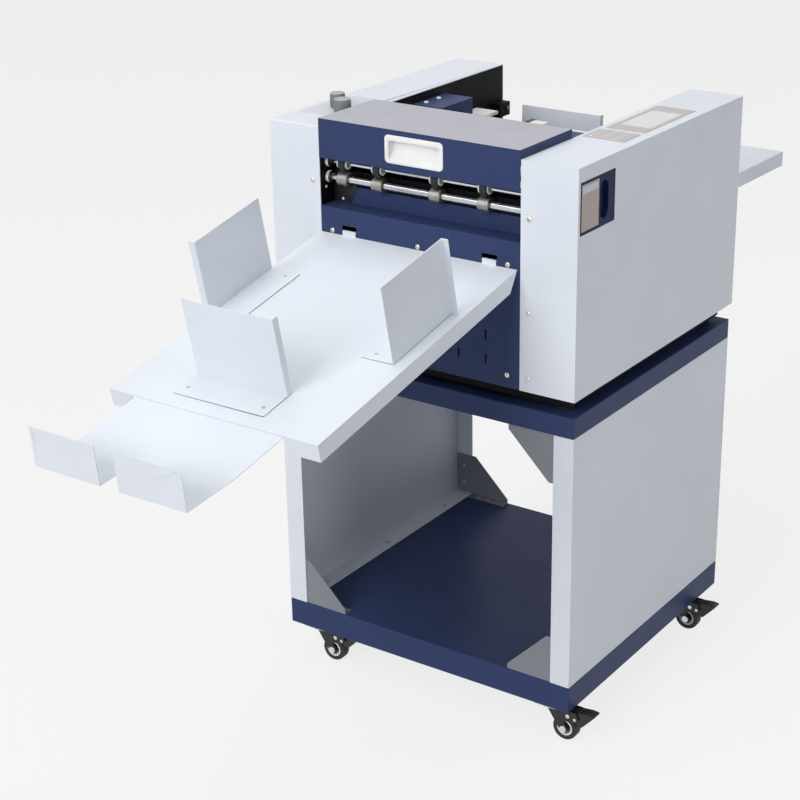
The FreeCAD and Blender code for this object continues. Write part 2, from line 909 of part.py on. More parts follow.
def front_apron():
    """The navy front sheet, folded back under the exit shafts into the lower exit guide."""
    reach = throat - s.seat_gap
    across = (-reach, reach)
    ledge = deck + s.apron_height
    guide_top = anvil_top - s.table_sheet
    guide_end = s.crease_y - s.anvil_depth / 2 - s.seat_gap
    skin = s.apron_sheet
    face = block(across, (0, skin), (deck, ledge))
    shelf = block(across, (0, s.apron_ledge), (ledge - skin, ledge))
    riser = block(across, (s.apron_ledge - skin, s.apron_ledge), (ledge - skin, guide_top))
    guide = block(across, (s.apron_ledge - skin, guide_end), (guide_top - skin, guide_top))
    ear = block((reach - skin, reach), (0, s.apron_ledge), (deck + s.apron_height / 8, ledge))
    slot = block(
        about(s.slot_x, s.slot_width),
        (-1, skin + 1),
        (tray_z + s.slot_above_table, tray_z + s.slot_above_table + s.slot_height),
    )
    low_vents = s.vent_level / 2
    vents = [
        block(about(x, s.vent_width), (-1, skin + 1), about(deck + level, s.vent_height))
        for x, level in ((s.vent_x, s.vent_level), (s.vent_x, low_vents), (s.inner_vent_x, low_vents))
    ]
    return piece(
        "front_apron",
        cut(join(face, shelf, riser, guide, ear, mirrored(ear, "x")), slot, mirrored(slot, "x"), *vents),
    )


def rear_panel():
    """The sheet that closes the throat at the back, folded over into the ramp to the rollers."""
    reach = throat - s.seat_gap
    across = (-reach, reach)
    top = deck + s.rear_panel_height
    inner = s.machine_depth - s.apron_sheet
    face = block(across, (inner, s.machine_depth), (deck, top))
    ramp_y, ramp_top = s.machine_depth - s.ramp_length, top + s.ramp_rise
    ramp = prism("x", -reach, reach, [
        (s.machine_depth, top), (ramp_y, ramp_top),
        (ramp_y, ramp_top - s.apron_sheet), (s.machine_depth, top - s.apron_sheet),
    ])
    slot = block(
        about(s.slot_x, s.slot_width),
        (inner - 1, s.machine_depth + 1),
        (feed_z + s.slot_above_table, feed_z + s.slot_above_table + s.slot_height),
    )
    return piece("rear_panel", cut(join(face, ramp), slot, mirrored(slot, "x")))


# ---- top cover -----------------------------------------------------------------------------

handle_along = about(s.handle_shift, s.handle_width)
handle_up = (cover_top - s.handle_drop - s.handle_height, cover_top - s.handle_drop)
cover_rear = s.cover_depth - s.cover_front
pocket_x = (handle_along[0] + s.handle_rim, handle_along[1] - s.handle_rim)
pocket_z = (handle_up[0] + s.handle_rim, handle_up[1] - s.handle_rim)


def top_cover():
    reach = throat - s.cover_gap
    across = (-reach, reach)
    skin = s.cover_sheet
    front = -s.cover_front
    skirt_low = cover_top - s.cover_skirt
    top = block(across, (front, cover_rear), (cover_top - skin, cover_top))
    face = block(across, (front, front + skin), (cover_top - s.cover_front_drop, cover_top))
    skirt = block((reach - skin, reach), (front, cover_rear), (skirt_low, cover_top))
    rear = block(across, (cover_rear - skin, cover_rear), (cover_top - s.pan_lip, cover_top))
    hole = block(
        (pocket_x[0] - s.handle_lip, pocket_x[1] + s.handle_lip),
        (front - 1, front + skin + 1),
        (pocket_z[0] - s.handle_lip, pocket_z[1] + s.handle_lip),
    )
    bore = rod(s.hinge_pin_radius + s.shaft_play, (-reach - 1, reach + 1), s.hinge_y, hinge_z)
    shell = join(top, face, skirt, mirrored(skirt, "x"), rear)
    return piece("top_cover", cut(shell, hole, bore))


def cover_handle():
    """A recessed pull: a rim on the cover's face and a finger pocket behind it."""
    front = -s.cover_front
    lip = s.handle_lip
    rim = block(handle_along, (front - lip, front), handle_up)
    cup = block(
        (pocket_x[0] - lip + s.seat_gap, pocket_x[1] + lip - s.seat_gap),
        (front, front + s.handle_pocket),
        (pocket_z[0] - lip + s.seat_gap, pocket_z[1] + lip - s.seat_gap),
    )
    hollow = block(pocket_x, (front - lip - 1, front + s.handle_pocket - lip), pocket_z)
    return piece("cover_handle", cut(join(rim, cup), hollow))


def cover_hinge_pins():
    """A headed pin at each side, through the cover's skirt into the frame."""
    inner = throat - s.cover_gap - s.cover_sheet
    head = (inner - s.hinge_head, inner - s.seat_gap / 3)
    pin = join(
        rod(s.hinge_pin_radius, (inner - 1, frame_outer), s.hinge_y, hinge_z),
        rod(s.hinge_pin_radius + s.hinge_head_rise, head, s.hinge_y, hinge_z),
    )
    return piece("cover_hinge_pins", pair(pin, "x"))


# ---- exit rollers --------------------------------------------------------------------------

collar_places = (s.collar_one_x, s.collar_two_x, s.collar_three_x, s.collar_four_x)
pulley_start = frame_outer + s.frame_plate * 2
belt_lane = s.pulley_width + s.frame_plate


def pulley_stretch(lane):
    """The (low, high) stretch along X of a pulley in one of the belt lanes."""
    low = pulley_start + belt_lane * lane
    return (low, low + s.pulley_width)


def shaft(radius, y, z, low, high):
    """A plain shaft with a snap ring outside the left frame."""
    return join(
        rod(radius, (low, high), y, z),
        rod(radius + s.ring_rise, (low + s.ring_inset, low + s.ring_inset + s.ring_width), y, z),
    )


def pulley(y, z, lane):
    low, high = pulley_stretch(lane)
    rim = s.pulley_radius + s.belt_thickness + s.pulley_rim
    return join(
        rod(s.pulley_radius, (low, high), y, z),
        rod(rim, (low - 1, low), y, z),
        rod(rim, (high, high + 1), y, z),
    )


def rollers(radius, width, bore, y, z):
    """One roller at each collar place, bored for its shaft."""
    return [
        cut(rod(radius, about(x, width), y, z), rod(bore, about(x, width + 2), y, z))
        for x in collar_places
    ]


def exit_rollers():
    left = -frame_outer - s.shaft_end
    right = pulley_stretch(1)[1] + 1
    drive = join(
        shaft(s.drive_shaft_radius, s.exit_y, exit_drive_z, left, right),
        pulley(s.exit_y, exit_drive_z, 0),
        pulley(s.exit_y, exit_drive_z, 1),
    )
    piece("exit_drive_shaft", drive)
    piece("exit_collars", group(*rollers(
        s.collar_radius, s.collar_width, s.drive_shaft_radius, s.exit_y, exit_drive_z
    )))
    idler_shaft = shaft(s.idler_shaft_radius, s.exit_y, exit_idler_z, left, frame_outer + s.shaft_end)
    idlers = rollers(s.idler_radius, s.idler_width, s.idler_shaft_radius, s.exit_y, exit_idler_z)
    piece("exit_idler_rollers", group(idler_shaft, *idlers))


# ---- creasing head -------------------------------------------------------------------------

def crease_anvil():
    """The grooved steel anvil with its guide posts, and the paper bed behind it."""
    reach = throat - s.seat_gap
    across = (-reach, reach)
    along = about(s.crease_y, s.anvil_depth)
    groove = about(s.crease_y, s.groove_width)
    body = cut(
        block(across, along, (anvil_top - s.anvil_height, anvil_top)),
        block((-reach - 1, reach + 1), groove, (anvil_top - s.groove_depth, anvil_top + 1)),
    )
    seat = anvil_top - s.anvil_height / 2
    post_top = cam_z - s.cam_shaft_radius - s.cam_gap
    post = rod(s.post_radius, s.post_x, s.crease_y, (seat, post_top))
    anvil = join(body, post, mirrored(post, "x"))
    bed_end = infeed_y - s.infeed_radius - s.infeed_shaft_radius
    skin = s.table_sheet
    bed = join(
        block(across, (along[1], bed_end), (anvil_top - skin, anvil_top)),
        block(across, (bed_end - skin, bed_end), (anvil_top - s.anvil_height, anvil_top)),
    )
    return piece("crease_anvil", group(anvil, bed))


def crease_beam():
    """The sliding beam and the thin blade set into its lower face."""
    half = s.beam_length / 2
    blade_x = about(0, s.blade_length)
    blade_y = about(s.crease_y, s.blade_thickness)
    blade = block(blade_x, blade_y, (blade_bottom, blade_bottom + s.blade_height))
    post_hole = rod(
        s.post_radius + s.shaft_play * 2, s.post_x, s.crease_y, (beam_bottom - 1, beam_top + 1)
    )
    slot = block(blade_x, blade_y, (beam_bottom - 1, blade_bottom + s.blade_height))
    beam = cut(
        block((-half, half), about(s.crease_y, s.beam_depth), (beam_bottom, beam_top)),
        post_hole, mirrored(post_hole, "x"), slot,
    )
    return piece("crease_beam", group(beam, blade))


def cam_shaft():
    """The shaft whose two eccentric cams press the beam down over half a turn."""
    left = -frame_outer - s.shaft_end
    right = pulley_stretch(0)[1] + 1
    cam = cut(
        rod(s.cam_radius, about(s.cam_x, s.cam_width), s.crease_y, cam_z + s.cam_throw),
        rod(s.cam_shaft_radius, about(s.cam_x, s.cam_width * 2), s.crease_y, cam_z),
    )
    wheel = cut(
        rod(s.cam_gear_radius, pulley_stretch(0), s.crease_y, cam_z),
        rod(s.cam_shaft_radius, (frame_outer, right + 1), s.crease_y, cam_z),
    )
    axle = shaft(s.cam_shaft_radius, s.crease_y, cam_z, left, right)
    return piece("cam_shaft", group(axle, wheel, cam, mirrored(cam, "x")))


# ---- feeder --------------------------------------------------------------------------------

def feed_rollers():
    """The driven infeed roller and the pressure roller over it."""
    body = throat - s.block_depth - s.cover_gap
    left = -frame_outer - s.shaft_end
    drive = join(
        shaft(s.infeed_shaft_radius, infeed_y, infeed_z, left, pulley_stretch(1)[1] + 1),
        rod(s.infeed_radius, (-body, body), infeed_y, infeed_z),
        pulley(infeed_y, infeed_z, 1),
    )
    piece("infeed_roller", drive)
    piece("pressure_roller", join(
        shaft(s.infeed_shaft_radius, infeed_y, pressure_z, left, frame_outer + s.shaft_end),
        rod(s.pressure_radius, (-body, body), infeed_y, pressure_z),
    ))


def feed_bridge():
    """A stepped cross member over the paper, and a rail behind it with three paper pads."""
    reach = throat - s.seat_gap
    level = deck + s.bridge_level
    bar = level - s.bridge_step
    skin = s.apron_sheet
    along = (s.bridge_y, s.bridge_y + s.bridge_depth)
    inner = s.bracket_width - reach
    bridge = join(
        block((-reach, inner), along, (level - skin, level)),
        block((inner - skin, inner), along, (bar - skin, level)),
        block((inner - 1, reach), along, (bar - skin, bar)),
        block((-reach, skin - reach), along, (level - s.bridge_flange, level)),
        block((reach - skin, reach), along, (bar - s.bridge_flange, bar)),
    )
    screw_x = throat - s.bracket_screw_inset
    screws = [
        rod(s.screw_radius, side * screw_x, s.bridge_y + place, (top, top + s.screw_head))
        for side, top in ((-1, level), (1, bar))
        for place in (s.front_bracket_screw, s.rear_bracket_screw)
    ]
    rail_y = s.machine_depth - s.rail_inset
    rail_low = deck + s.rail_level
    rail_top = rail_low + s.rail_height
    pad_y = rail_y - s.pad_overhang
    levels = (rail_top, rail_top + s.pad_height)
    rail = block((-reach, reach), (rail_y, rail_y + s.rail_depth), (rail_low, rail_top))
    middle_pad = about(s.middle_pad_x, s.middle_pad_width)
    pads = [
        block(about(s.side_pad_x, s.side_pad_width), (pad_y, pad_y + s.side_pad_length), levels),
        block(middle_pad, (pad_y, pad_y + s.middle_pad_length), levels),
        block((middle_pad[0] - s.pad_clip_width, middle_pad[0]), (rail_y, rail_y + s.pad_clip_length), levels),
    ]
    return piece("feed_bridge", group(bridge, *screws, rail, *pads))


# ---- drive ---------------------------------------------------------------------------------

def drive_motor():
    """A gear motor on the right frame, its pulley and its balance wheel in the right cabinet."""
    face = throat - s.seat_gap
    can = rod(s.motor_radius, (face - s.motor_length, face - s.motor_length / 3), s.motor_y, motor_z)
    gearbox = block(
        (face - s.motor_length / 3, face),
        about(s.motor_y, s.motor_radius * 2),
        about(motor_z, s.motor_radius * 2),
    )
    spigot = rod(s.pulley_radius - s.belt_gap, (face - 1, frame_outer), s.motor_y, motor_z)
    root = face - s.block_size
    bore = rod(s.motor_shaft_radius + s.shaft_play, (root, frame_outer + 1), s.motor_y, motor_z)
    piece("drive_motor", cut(join(can, gearbox, spigot), bore))
    axle = rod(s.motor_shaft_radius, (root, pulley_stretch(1)[1]), s.motor_y, motor_z)
    balance = rod(s.balance_radius, pulley_stretch(1), s.motor_y, motor_z)
    piece("motor_pulley", join(axle, pulley(s.motor_y, motor_z, 0), balance))


def belt(y, z, far_y, far_z, lane):
    """A flat belt round two equal pulleys, laid along Y and then turned to its line."""
    inner = s.pulley_radius + s.belt_gap
    outer = inner + s.belt_thickness
    low, high = pulley_stretch(lane)
    width = (low + s.belt_gap, high - s.belt_gap)
    mouth = (low - 1, high + 1)
    run = Size(f"sqrt({text_of(far_y - y)}^2 + {text_of(far_z - z)}^2)")
    line = Size(f"atan2({text_of(far_z - z)}; {text_of(far_y - y)})")
    loop = cut(
        join(rod(outer, width, 0, 0), rod(outer, width, run, 0), block(width, (0, run), (-outer, outer))),
        rod(inner, mouth, 0, 0), rod(inner, mouth, run, 0), block(mouth, (0, run), (-inner, inner)),
    )
    return put(tilt(loop, line), 0, y, z)


def drive_belts():
    return piece("drive_belts", group(
        belt(s.exit_y, exit_drive_z, s.motor_y, motor_z, 0),
        belt(s.exit_y, exit_drive_z, infeed_y, infeed_z, 1),
    ))


# ---- controls ------------------------------------------------------------------------------

def control_panel():
    """The keypad membrane and the display bezel on top of the right cabinet."""
    level = (cabinet_top, cabinet_top + s.panel_thickness)
    keypad = block(
        about(inlet_x + s.keypad_shift, s.keypad_width),
        (s.keypad_front, s.keypad_front + s.keypad_depth),
        level,
    )
    across = about(inlet_x + s.display_shift, s.display_width)
    along = (s.display_front, s.display_front + s.display_depth)
    bezel = cut(
        block(across, along, level),
        block(
            (across[0] + s.screen_side, across[1] - s.screen_side),
            (along[0] + s.screen_front, along[1] - s.screen_rear),
            (cabinet_top + s.panel_thickness / 2, cabinet_top + s.panel_thickness + 1),
        ),
    )
    return piece("control_panel", group(keypad, bezel))


def stadium(x, y, radius, height, z):
    """An upright slot shape: two rods and the block between them."""
    reach = height / 2 - radius
    return join(
        block(x, about(y, radius * 2), (z - reach, z + reach)),
        rod(radius, x, y, z - reach),
        rod(radius, x, y, z + reach),
    )


def access_door():
    """The navy side door on two pivot pins in its front edge, with a finger recess."""
    inside = half_width - s.door_sheet
    skin = s.door_sheet
    y = door_along[1] - s.recess_from_edge
    z = (door_up[0] + door_up[1]) / 2
    radius = s.recess_width / 2
    back = inside - s.recess_depth
    leaf = block((inside, half_width), door_along, door_up)
    cup = stadium((back - skin, inside + skin / 2), y, radius + skin, s.recess_height + skin * 2, z)
    hollow = stadium((back, half_width + 1), y, radius, s.recess_height, z)
    pins = [
        rod(s.door_pin_radius, door_pin_x, door_pin_y, about(edge, 6))
        for edge in door_up
    ]
    return piece("access_door", join(cut(join(leaf, cup), hollow), *pins))


def adjust_knobs():
    """Two setting knobs with a pointer groove, on stems through the left cabinet's top."""
    for label, (radius, x, y) in knobs.items():
        base = cabinet_top + s.seat_gap
        top = cabinet_top + s.knob_height
        body = rod(radius, x, y, (base, top))
        pointer = block(about(x, s.pointer_width), (y - radius - 1, y), (top - 1, top + 1))
        stem = rod(s.knob_stem_radius, x, y, (cabinet_top - s.cabinet_sheet * 3, base + 1))
        nut = rod(
            s.knob_stem_radius + 2, x, y,
            (cabinet_top - s.cabinet_sheet * 2.5, cabinet_top - s.cabinet_sheet - s.seat_gap),
        )
        piece(label, join(cut(body, pointer), stem, nut))


def mains_panel():
    """The appliance inlet with its three pins, and the rocker switch over it."""
    back = s.machine_depth
    wall = back - s.cabinet_sheet
    lip = s.inlet_rim
    low = inlet_z - s.inlet_height / 2
    top = inlet_z + s.inlet_height / 2
    width = about(inlet_x, s.inlet_width - s.seat_gap * 2)
    mouth = (width[0] + lip, width[1] - lip)
    bezel = block((width[0] - lip, width[1] + lip), (back, back + s.inlet_bezel), (low - lip, top + lip))
    front = back + s.inlet_bezel + 1
    body = block(width, (wall - s.inlet_body, back + 1), (low + s.seat_gap, top - s.seat_gap))
    socket_top = low + lip + s.socket_height
    socket = block(mouth, (wall - s.socket_depth, front), (low + lip, socket_top))
    window_top = top - lip
    middle = window_top - s.rocker_window / 2
    window = block(mouth, (wall - s.rocker_depth * 1.75, front), about(middle, s.rocker_window))
    pivot_y = wall - s.cabinet_sheet
    pivot_x = (mouth[0] - lip / 2, mouth[1] + lip / 2)
    bore = rod(s.rocker_pin_radius + s.shaft_play, pivot_x, pivot_y, middle)
    pins = [
        block(about(inlet_x + x, lip / 2), (wall - s.socket_depth, back - 2), about(z, lip))
        for x, z in (
            (-lip * 1.5, low + lip * 2.75),
            (lip * 1.5, low + lip * 2.75),
            (0, low + lip * 3.75),
        )
    ]
    piece("mains_inlet", group(cut(join(bezel, body), socket, window, bore), *pins))
    half = s.rocker_height / 2
    rocker = prism("x", mouth[0] + s.seat_gap, mouth[1] - s.seat_gap, [
        (wall - s.rocker_depth, middle - half),
        (back + s.inlet_bezel * 0.75, middle - half),
        (back + s.inlet_bezel / 2, middle),
        (back + s.inlet_bezel * 1.75, middle + half),
        (wall - s.rocker_depth, middle + half),
    ])
    end_gap = s.seat_gap / 3
    pin = rod(s.rocker_pin_radius, (pivot_x[0] + end_gap, pivot_x[1] - end_gap), pivot_y, middle)
    return piece("power_switch", join(rocker, pin))


# ---- sheet-metal tables --------------------------------------------------------------------

# a table's near edge stands off its panel by what its slope would push into the panel
tray_y = -s.table_sheet * sine(s.tray_slope)
feed_y = s.machine_depth - s.table_flange * sine(s.feed_slope)
table_x = about(s.table_shift, s.table_width)
table_inner_x = about(s.table_shift, s.table_width - s.table_sheet * 2)


def hooks(face, outward, level):
    """Two tabs that rise from a table, pass through its panel's slots and drop behind it."""
    skin = s.table_sheet
    x = about(s.slot_x, s.hook_width)
    bar = level + s.slot_above_table + s.table_sheet
    behind = s.apron_sheet + s.seat_gap
    spans = [
        ((0, skin), (level - skin, bar + skin)),
        ((-behind - skin, skin), (bar, bar + skin)),
        ((-behind - skin, -behind), (level + skin / 2, bar + skin)),
    ]
    if outward < 0:
        strips = [block(x, (face - high, face - low), z) for (low, high), z in spans]
    else:
        strips = [block(x, (face + low, face + high), z) for (low, high), z in spans]
    tab = join(*strips)
    return [tab, mirrored(tab, "x")]


extension_x = about(s.extension_shift, s.extension_width)
extension_rear = s.tray_length - s.extension_overlap
extension_top = -s.table_sheet - s.seat_gap
extension_bottom = extension_top - s.table_sheet


def delivery_tray():
    """The sloping pan, notched in front for its extension, with the extension's rails."""
    skin = s.table_sheet
    flange = -s.table_flange
    front = -s.tray_length
    shell = cut(
        block(table_x, (front, 0), (flange, 0)),
        block(table_inner_x, (front + skin, 1), (flange - 1, -skin)),
    )
    near = s.tray_notch_side
    far = s.tray_notch_side + s.tray_notch_flare
    notch = prism("y", front - 1, front + skin + 1, [
        (extension_x[0] - near, -skin),
        (extension_x[0] - far, flange - 1),
        (extension_x[1] + far, flange - 1),
        (extension_x[1] + near, -skin),
    ])
    chamfer = prism("x", table_x[0] - 1, table_x[1] + 1, [
        (1, -skin),
        (1, flange - 1),
        (-s.tray_chamfer, flange - 1),
        (-1, -skin),
    ])
    rail_along = (front + s.rail_lip, s.extension_travel - extension_rear + skin)
    rail_top = extension_bottom - s.seat_gap
    web_x = (extension_x[1] + s.seat_gap, extension_x[1] + s.seat_gap + skin)
    web = block(web_x, rail_along, (rail_top - skin, -skin / 2))
    lip = block((extension_x[1] - s.rail_lip, web_x[1]), rail_along, (rail_top - skin, rail_top))
    rail = join(web, lip)
    rails = [rail, mirrored(rail, "x", s.extension_shift)]
    pan_in_place = put(tilt(join(cut(shell, notch, chamfer), *rails), s.tray_slope), 0, tray_y, tray_z)
    return piece("delivery_tray", join(pan_in_place, *hooks(0, -1, tray_z)))


def feed_table():
    skin = s.table_sheet
    flange = -s.table_flange
    shell = cut(
        block(table_x, (0, s.feed_length), (flange, 0)),
        block(table_inner_x, (skin, s.feed_length - skin), (flange - 1, -skin)),
    )
    pan_in_place = put(tilt(shell, s.feed_slope), 0, feed_y, feed_z)
    return piece("feed_table", join(pan_in_place, *hooks(s.machine_depth, 1, feed_z)))


def delivery_extension():
    """The pull-out plate under the tray, bent up to two stop tabs with a notch between."""
    skin = s.table_sheet
    bend = s.extension_lift
    start = -s.tray_length - s.extension_reach
    nose = s.extension_nose
    tab = s.extension_tab
    forward = (-cosine(bend), sine(bend))
    upward = (sine(bend), cosine(bend))

    def nose_point(along, up):
        return (
            start + forward[0] * along + upward[0] * up,
            extension_top + forward[1] * along + upward[1] * up,
        )

    profile = prism("x", extension_x[0], extension_x[1], [
        (-extension_rear, extension_top),
        (start, extension_top),
        nose_point(nose - skin, 0),
        nose_point(nose - skin, tab),
        nose_point(nose, tab),
        nose_point(nose, -skin),
        (start, extension_bottom),
        (-extension_rear, extension_bottom),
    ])
    notch_end = start - nose + s.extension_notch_depth
    radius = s.extension_notch / 2
    reach = (-skin * 4, s.extension_tab * 1.5)
    notch = join(
        block(about(s.extension_shift, s.extension_notch), (start - nose - tab, notch_end), reach),
        rod(radius, s.extension_shift, notch_end, reach),
    )
    hole_y = (start - nose - tab / 2, start - nose / 2)
    hole_z = tab * 0.9 + nose * sine(bend)
    holes = [
        rod(s.extension_hole_radius, edge, hole_y, hole_z)
        for edge in about(s.extension_shift, s.extension_width - s.extension_hole_inset * 2)
    ]
    return piece("delivery_extension", cut(profile, notch, *holes), 0, tray_y, tray_z, slope=s.tray_slope)


# ---- paper guides --------------------------------------------------------------------------

magnet_levels = (s.glide_gap, s.magnet_sheet)
base_levels = (s.magnet_sheet, s.magnet_sheet + s.guide_sheet)
plate_levels = (s.magnet_sheet, s.magnet_sheet + s.guide_height)


def side_guide(label, face, inward, front, flange_at_front):
    """An upright plate along the tray: its base points inward, its flange outward."""
    skin = s.guide_sheet
    along = (front, front + s.guide_length)
    if inward > 0:
        plate_x, base_x = (face, face + skin), (face, face + s.guide_base)
        flange_x = (face - s.guide_flange, face + skin)
    else:
        plate_x, base_x = (face - skin, face), (face - s.guide_base, face)
        flange_x = (face - skin, face + s.guide_flange)
    flange_y = (along[0], along[0] + skin) if flange_at_front else (along[1] - skin, along[1])
    metal = join(
        block(base_x, along, base_levels),
        block(plate_x, along, plate_levels),
        block(flange_x, flange_y, plate_levels),
    )
    magnet = block(base_x, along, magnet_levels)
    return piece(label, group(metal, magnet), 0, tray_y, tray_z, slope=s.tray_slope)


def cross_stop(label, centre, face, outward, y, z, slope):
    """An upright plate across a table: its base points away from the paper."""
    skin = s.guide_sheet
    across = about(centre, s.stop_length)
    if outward < 0:
        plate_y, base_y = (face - skin, face), (face - s.guide_base, face)
        flange_y = (face - skin, face + s.guide_flange)
    else:
        plate_y, base_y = (face, face + skin), (face, face + s.guide_base)
        flange_y = (face, face + s.guide_flange)
    metal = join(
        block(across, base_y, base_levels),
        block(across, plate_y, plate_levels),
        block((across[1] - skin, across[1]), flange_y, plate_levels),
    )
    magnet = block(across, base_y, magnet_levels)
    return piece(label, group(metal, magnet), 0, y, z, slope=slope)


def paper_guides():
    side_guide("left_paper_guide", s.left_guide_x, 1, -s.left_guide_front, True)
    side_guide("right_paper_guide", s.right_guide_x, -1, -s.right_guide_front, False)
    front_stop = s.front_stop_inset - s.tray_length
    cross_stop("front_paper_stop", s.front_stop_x, front_stop, -1, tray_y, tray_z, s.tray_slope)
    cross_stop("feed_backstop", s.backstop_x, s.backstop_place, 1, feed_y, feed_z, s.feed_slope)


# ---- fasteners -----------------------------------------------------------------------------

def cover_screws():
    """The visible screws of the cabinets and of the apron."""
    cabinet_x = throat + s.cabinet_screw_inset
    spots = [(cabinet_x, level) for level in (s.screw_high, s.screw_middle, s.screw_low)]
    spots.append((s.apron_screw_x, s.apron_screw_level))
    spots.append((s.apron_screw_x, s.screw_low))
    half = group(*[rod(s.screw_radius, x, (-s.screw_head, 0), deck + level) for x, level in spots])
    middle = rod(s.screw_radius, 0, (-s.screw_head, 0), deck + s.apron_screw_level)
    return piece("cover_screws", group(half, mirrored(half, "x"), middle))


# ---- the whole machine ---------------------------------------------------------------------

trolley_base()
trolley_shelf()
trolley_panel(-1)
trolley_panel(1)
gussets()
caster_plates()
caster_pieces()
chassis_base()
rubber_feet()
side_cover(-1)
side_cover(1)
side_frame(-1)
side_frame(1)
shaft_bearings()
front_apron()
rear_panel()
top_cover()
cover_handle()
cover_hinge_pins()
exit_rollers()
crease_anvil()
crease_beam()
cam_shaft()
feed_rollers()
feed_bridge()
drive_motor()
drive_belts()
control_panel()
access_door()
adjust_knobs()
mains_panel()
delivery_tray()
feed_table()
delivery_extension()
paper_guides()
cover_screws()
doc.recompute()

for obj in doc.Objects:
    if "Invalid" in obj.State or "Error" in obj.State:
        raise RuntimeError(f"{obj.Label} did not compute: {obj.State}")
for node in pieces:
    if node.Shape.isNull() or not node.Shape.isValid():
        raise RuntimeError(f"{node.Label} has no valid shape")

os.makedirs("parts", exist_ok=True)
for node in pieces:
    node.Shape.exportStep(f"parts/{node.Label}.step")
print(len(pieces), "nodes written")
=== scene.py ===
import json
import math

import bmesh
import bpy
from mathutils import Matrix, Vector


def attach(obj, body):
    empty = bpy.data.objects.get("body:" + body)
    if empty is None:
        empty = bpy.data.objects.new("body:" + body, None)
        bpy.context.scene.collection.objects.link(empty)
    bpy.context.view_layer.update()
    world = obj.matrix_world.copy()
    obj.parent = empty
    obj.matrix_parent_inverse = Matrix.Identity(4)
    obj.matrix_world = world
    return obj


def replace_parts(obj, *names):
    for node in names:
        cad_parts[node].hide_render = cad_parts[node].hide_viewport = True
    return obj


# Paper creasing machine on its wheeled trolley: finishes, small fittings, light and camera.
# Shapes are drawn in the machine's own millimetres, which at() turns into metres in the row frame.

MID_X, FRONT_Y = -22.0, -148.7

THROAT = 210.0  # from the middle to the black frame on each side
CABINET_TOP, COVER_TOP = 1095.7, 1111.5
TRAY_SLOPE, FEED_SLOPE = math.radians(11.87), math.radians(-0.75)
TRAY = Vector((0, -1.5 * math.sin(TRAY_SLOPE), 904))
FEED = Vector((0, 612 - 31 * math.sin(FEED_SLOPE), 875))
FOOT_TOP = 2.3  # the upper face of a guide's foot, above its tray or table
EXIT_Y, DRIVE_Z, IDLER_Z = 27.0, 999.65, 1028.85
ROLLER_X = (-174, -98.5, 24.5, 124)
CASTERS = {
    "front_left": (-267, 30), "front_right": (267, 30), "rear_left": (-267, 525), "rear_right": (267, 525),
}
TRAIL, WHEEL = 34.0, 25.0  # a caster's trail and its wheel's radius
ACROSS, UPWARD = (1, 0, 0), (0, 0, 1)

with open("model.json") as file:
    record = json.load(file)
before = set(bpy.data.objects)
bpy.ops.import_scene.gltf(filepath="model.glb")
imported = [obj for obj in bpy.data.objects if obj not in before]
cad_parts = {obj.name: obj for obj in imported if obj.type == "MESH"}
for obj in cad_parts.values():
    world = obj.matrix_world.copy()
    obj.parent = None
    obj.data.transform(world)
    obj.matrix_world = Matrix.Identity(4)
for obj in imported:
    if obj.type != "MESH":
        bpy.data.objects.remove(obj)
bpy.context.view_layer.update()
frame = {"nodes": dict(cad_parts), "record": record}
nodes = frame["nodes"]


def at(x, y, z):
    """A place in the machine's own millimetres, in the row frame."""
    return Vector((x + MID_X, y + FRONT_Y, z)) / 1000


# ---- materials -----------------------------------------------------------------------------

def linear(code):
    """A colour given as six hex digits of sRGB, as linear red, green, blue and alpha."""
    parts = [int(code[i:i + 2], 16) / 255 for i in (0, 2, 4)]
    return [c / 12.92 if c <= 0.04045 else ((c + 0.055) / 1.055) ** 2.4 for c in parts] + [1.0]


def shaded(code, factor):
    """The same colour made darker or lighter by a factor."""
    return [min(1.0, c * factor) for c in linear(code)[:3]] + [1.0]


def start(name):
    """A new material with its tree, its shader and the coordinates of the piece at rest."""
    made = bpy.data.materials.new(name)
    made.use_nodes = True
    tree = made.node_tree
    shader = tree.nodes["Principled BSDF"]
    coords = tree.nodes.new("ShaderNodeTexCoord")
    return made, tree, shader, coords.outputs["Object"]


def noise(tree, vector, scale, detail=3.0, stretch=None):
    """A noise value over the piece, its grain given per metre, drawn out along an axis."""
    if stretch is not None:
        mapping = tree.nodes.new("ShaderNodeMapping")
        mapping.inputs["Scale"].default_value = stretch
        tree.links.new(vector, mapping.inputs["Vector"])
        vector = mapping.outputs["Vector"]
    texture = tree.nodes.new("ShaderNodeTexNoise")
    texture.inputs["Scale"].default_value = scale
    texture.inputs["Detail"].default_value = detail
    tree.links.new(vector, texture.inputs["Vector"])
    return texture.outputs["Fac"]


def spread(tree, value, low, high):
    """A noise value laid out between two numbers."""
    reach = tree.nodes.new("ShaderNodeMapRange")
    reach.inputs["From Min"].default_value = 0.3
    reach.inputs["From Max"].default_value = 0.7
    reach.inputs["To Min"].default_value = low
    reach.inputs["To Max"].default_value = high
    tree.links.new(value, reach.inputs["Value"])
    return reach.outputs["Result"]


def between(tree, value, low, high):
    """A noise value laid out between two colours."""
    ramp = tree.nodes.new("ShaderNodeValToRGB")
    ramp.color_ramp.elements[0].position = 0.3
    ramp.color_ramp.elements[0].color = low
    ramp.color_ramp.elements[1].position = 0.7
    ramp.color_ramp.elements[1].color = high
    tree.links.new(value, ramp.inputs["Fac"])
    return ramp.outputs["Color"]


def bumped(tree, shader, value, depth):
    """Relief of the given depth in metres."""
    bump = tree.nodes.new("ShaderNodeBump")
    bump.inputs["Distance"].default_value = depth
    tree.links.new(value, bump.inputs["Height"])
    tree.links.new(bump.outputs["Normal"], shader.inputs["Normal"])


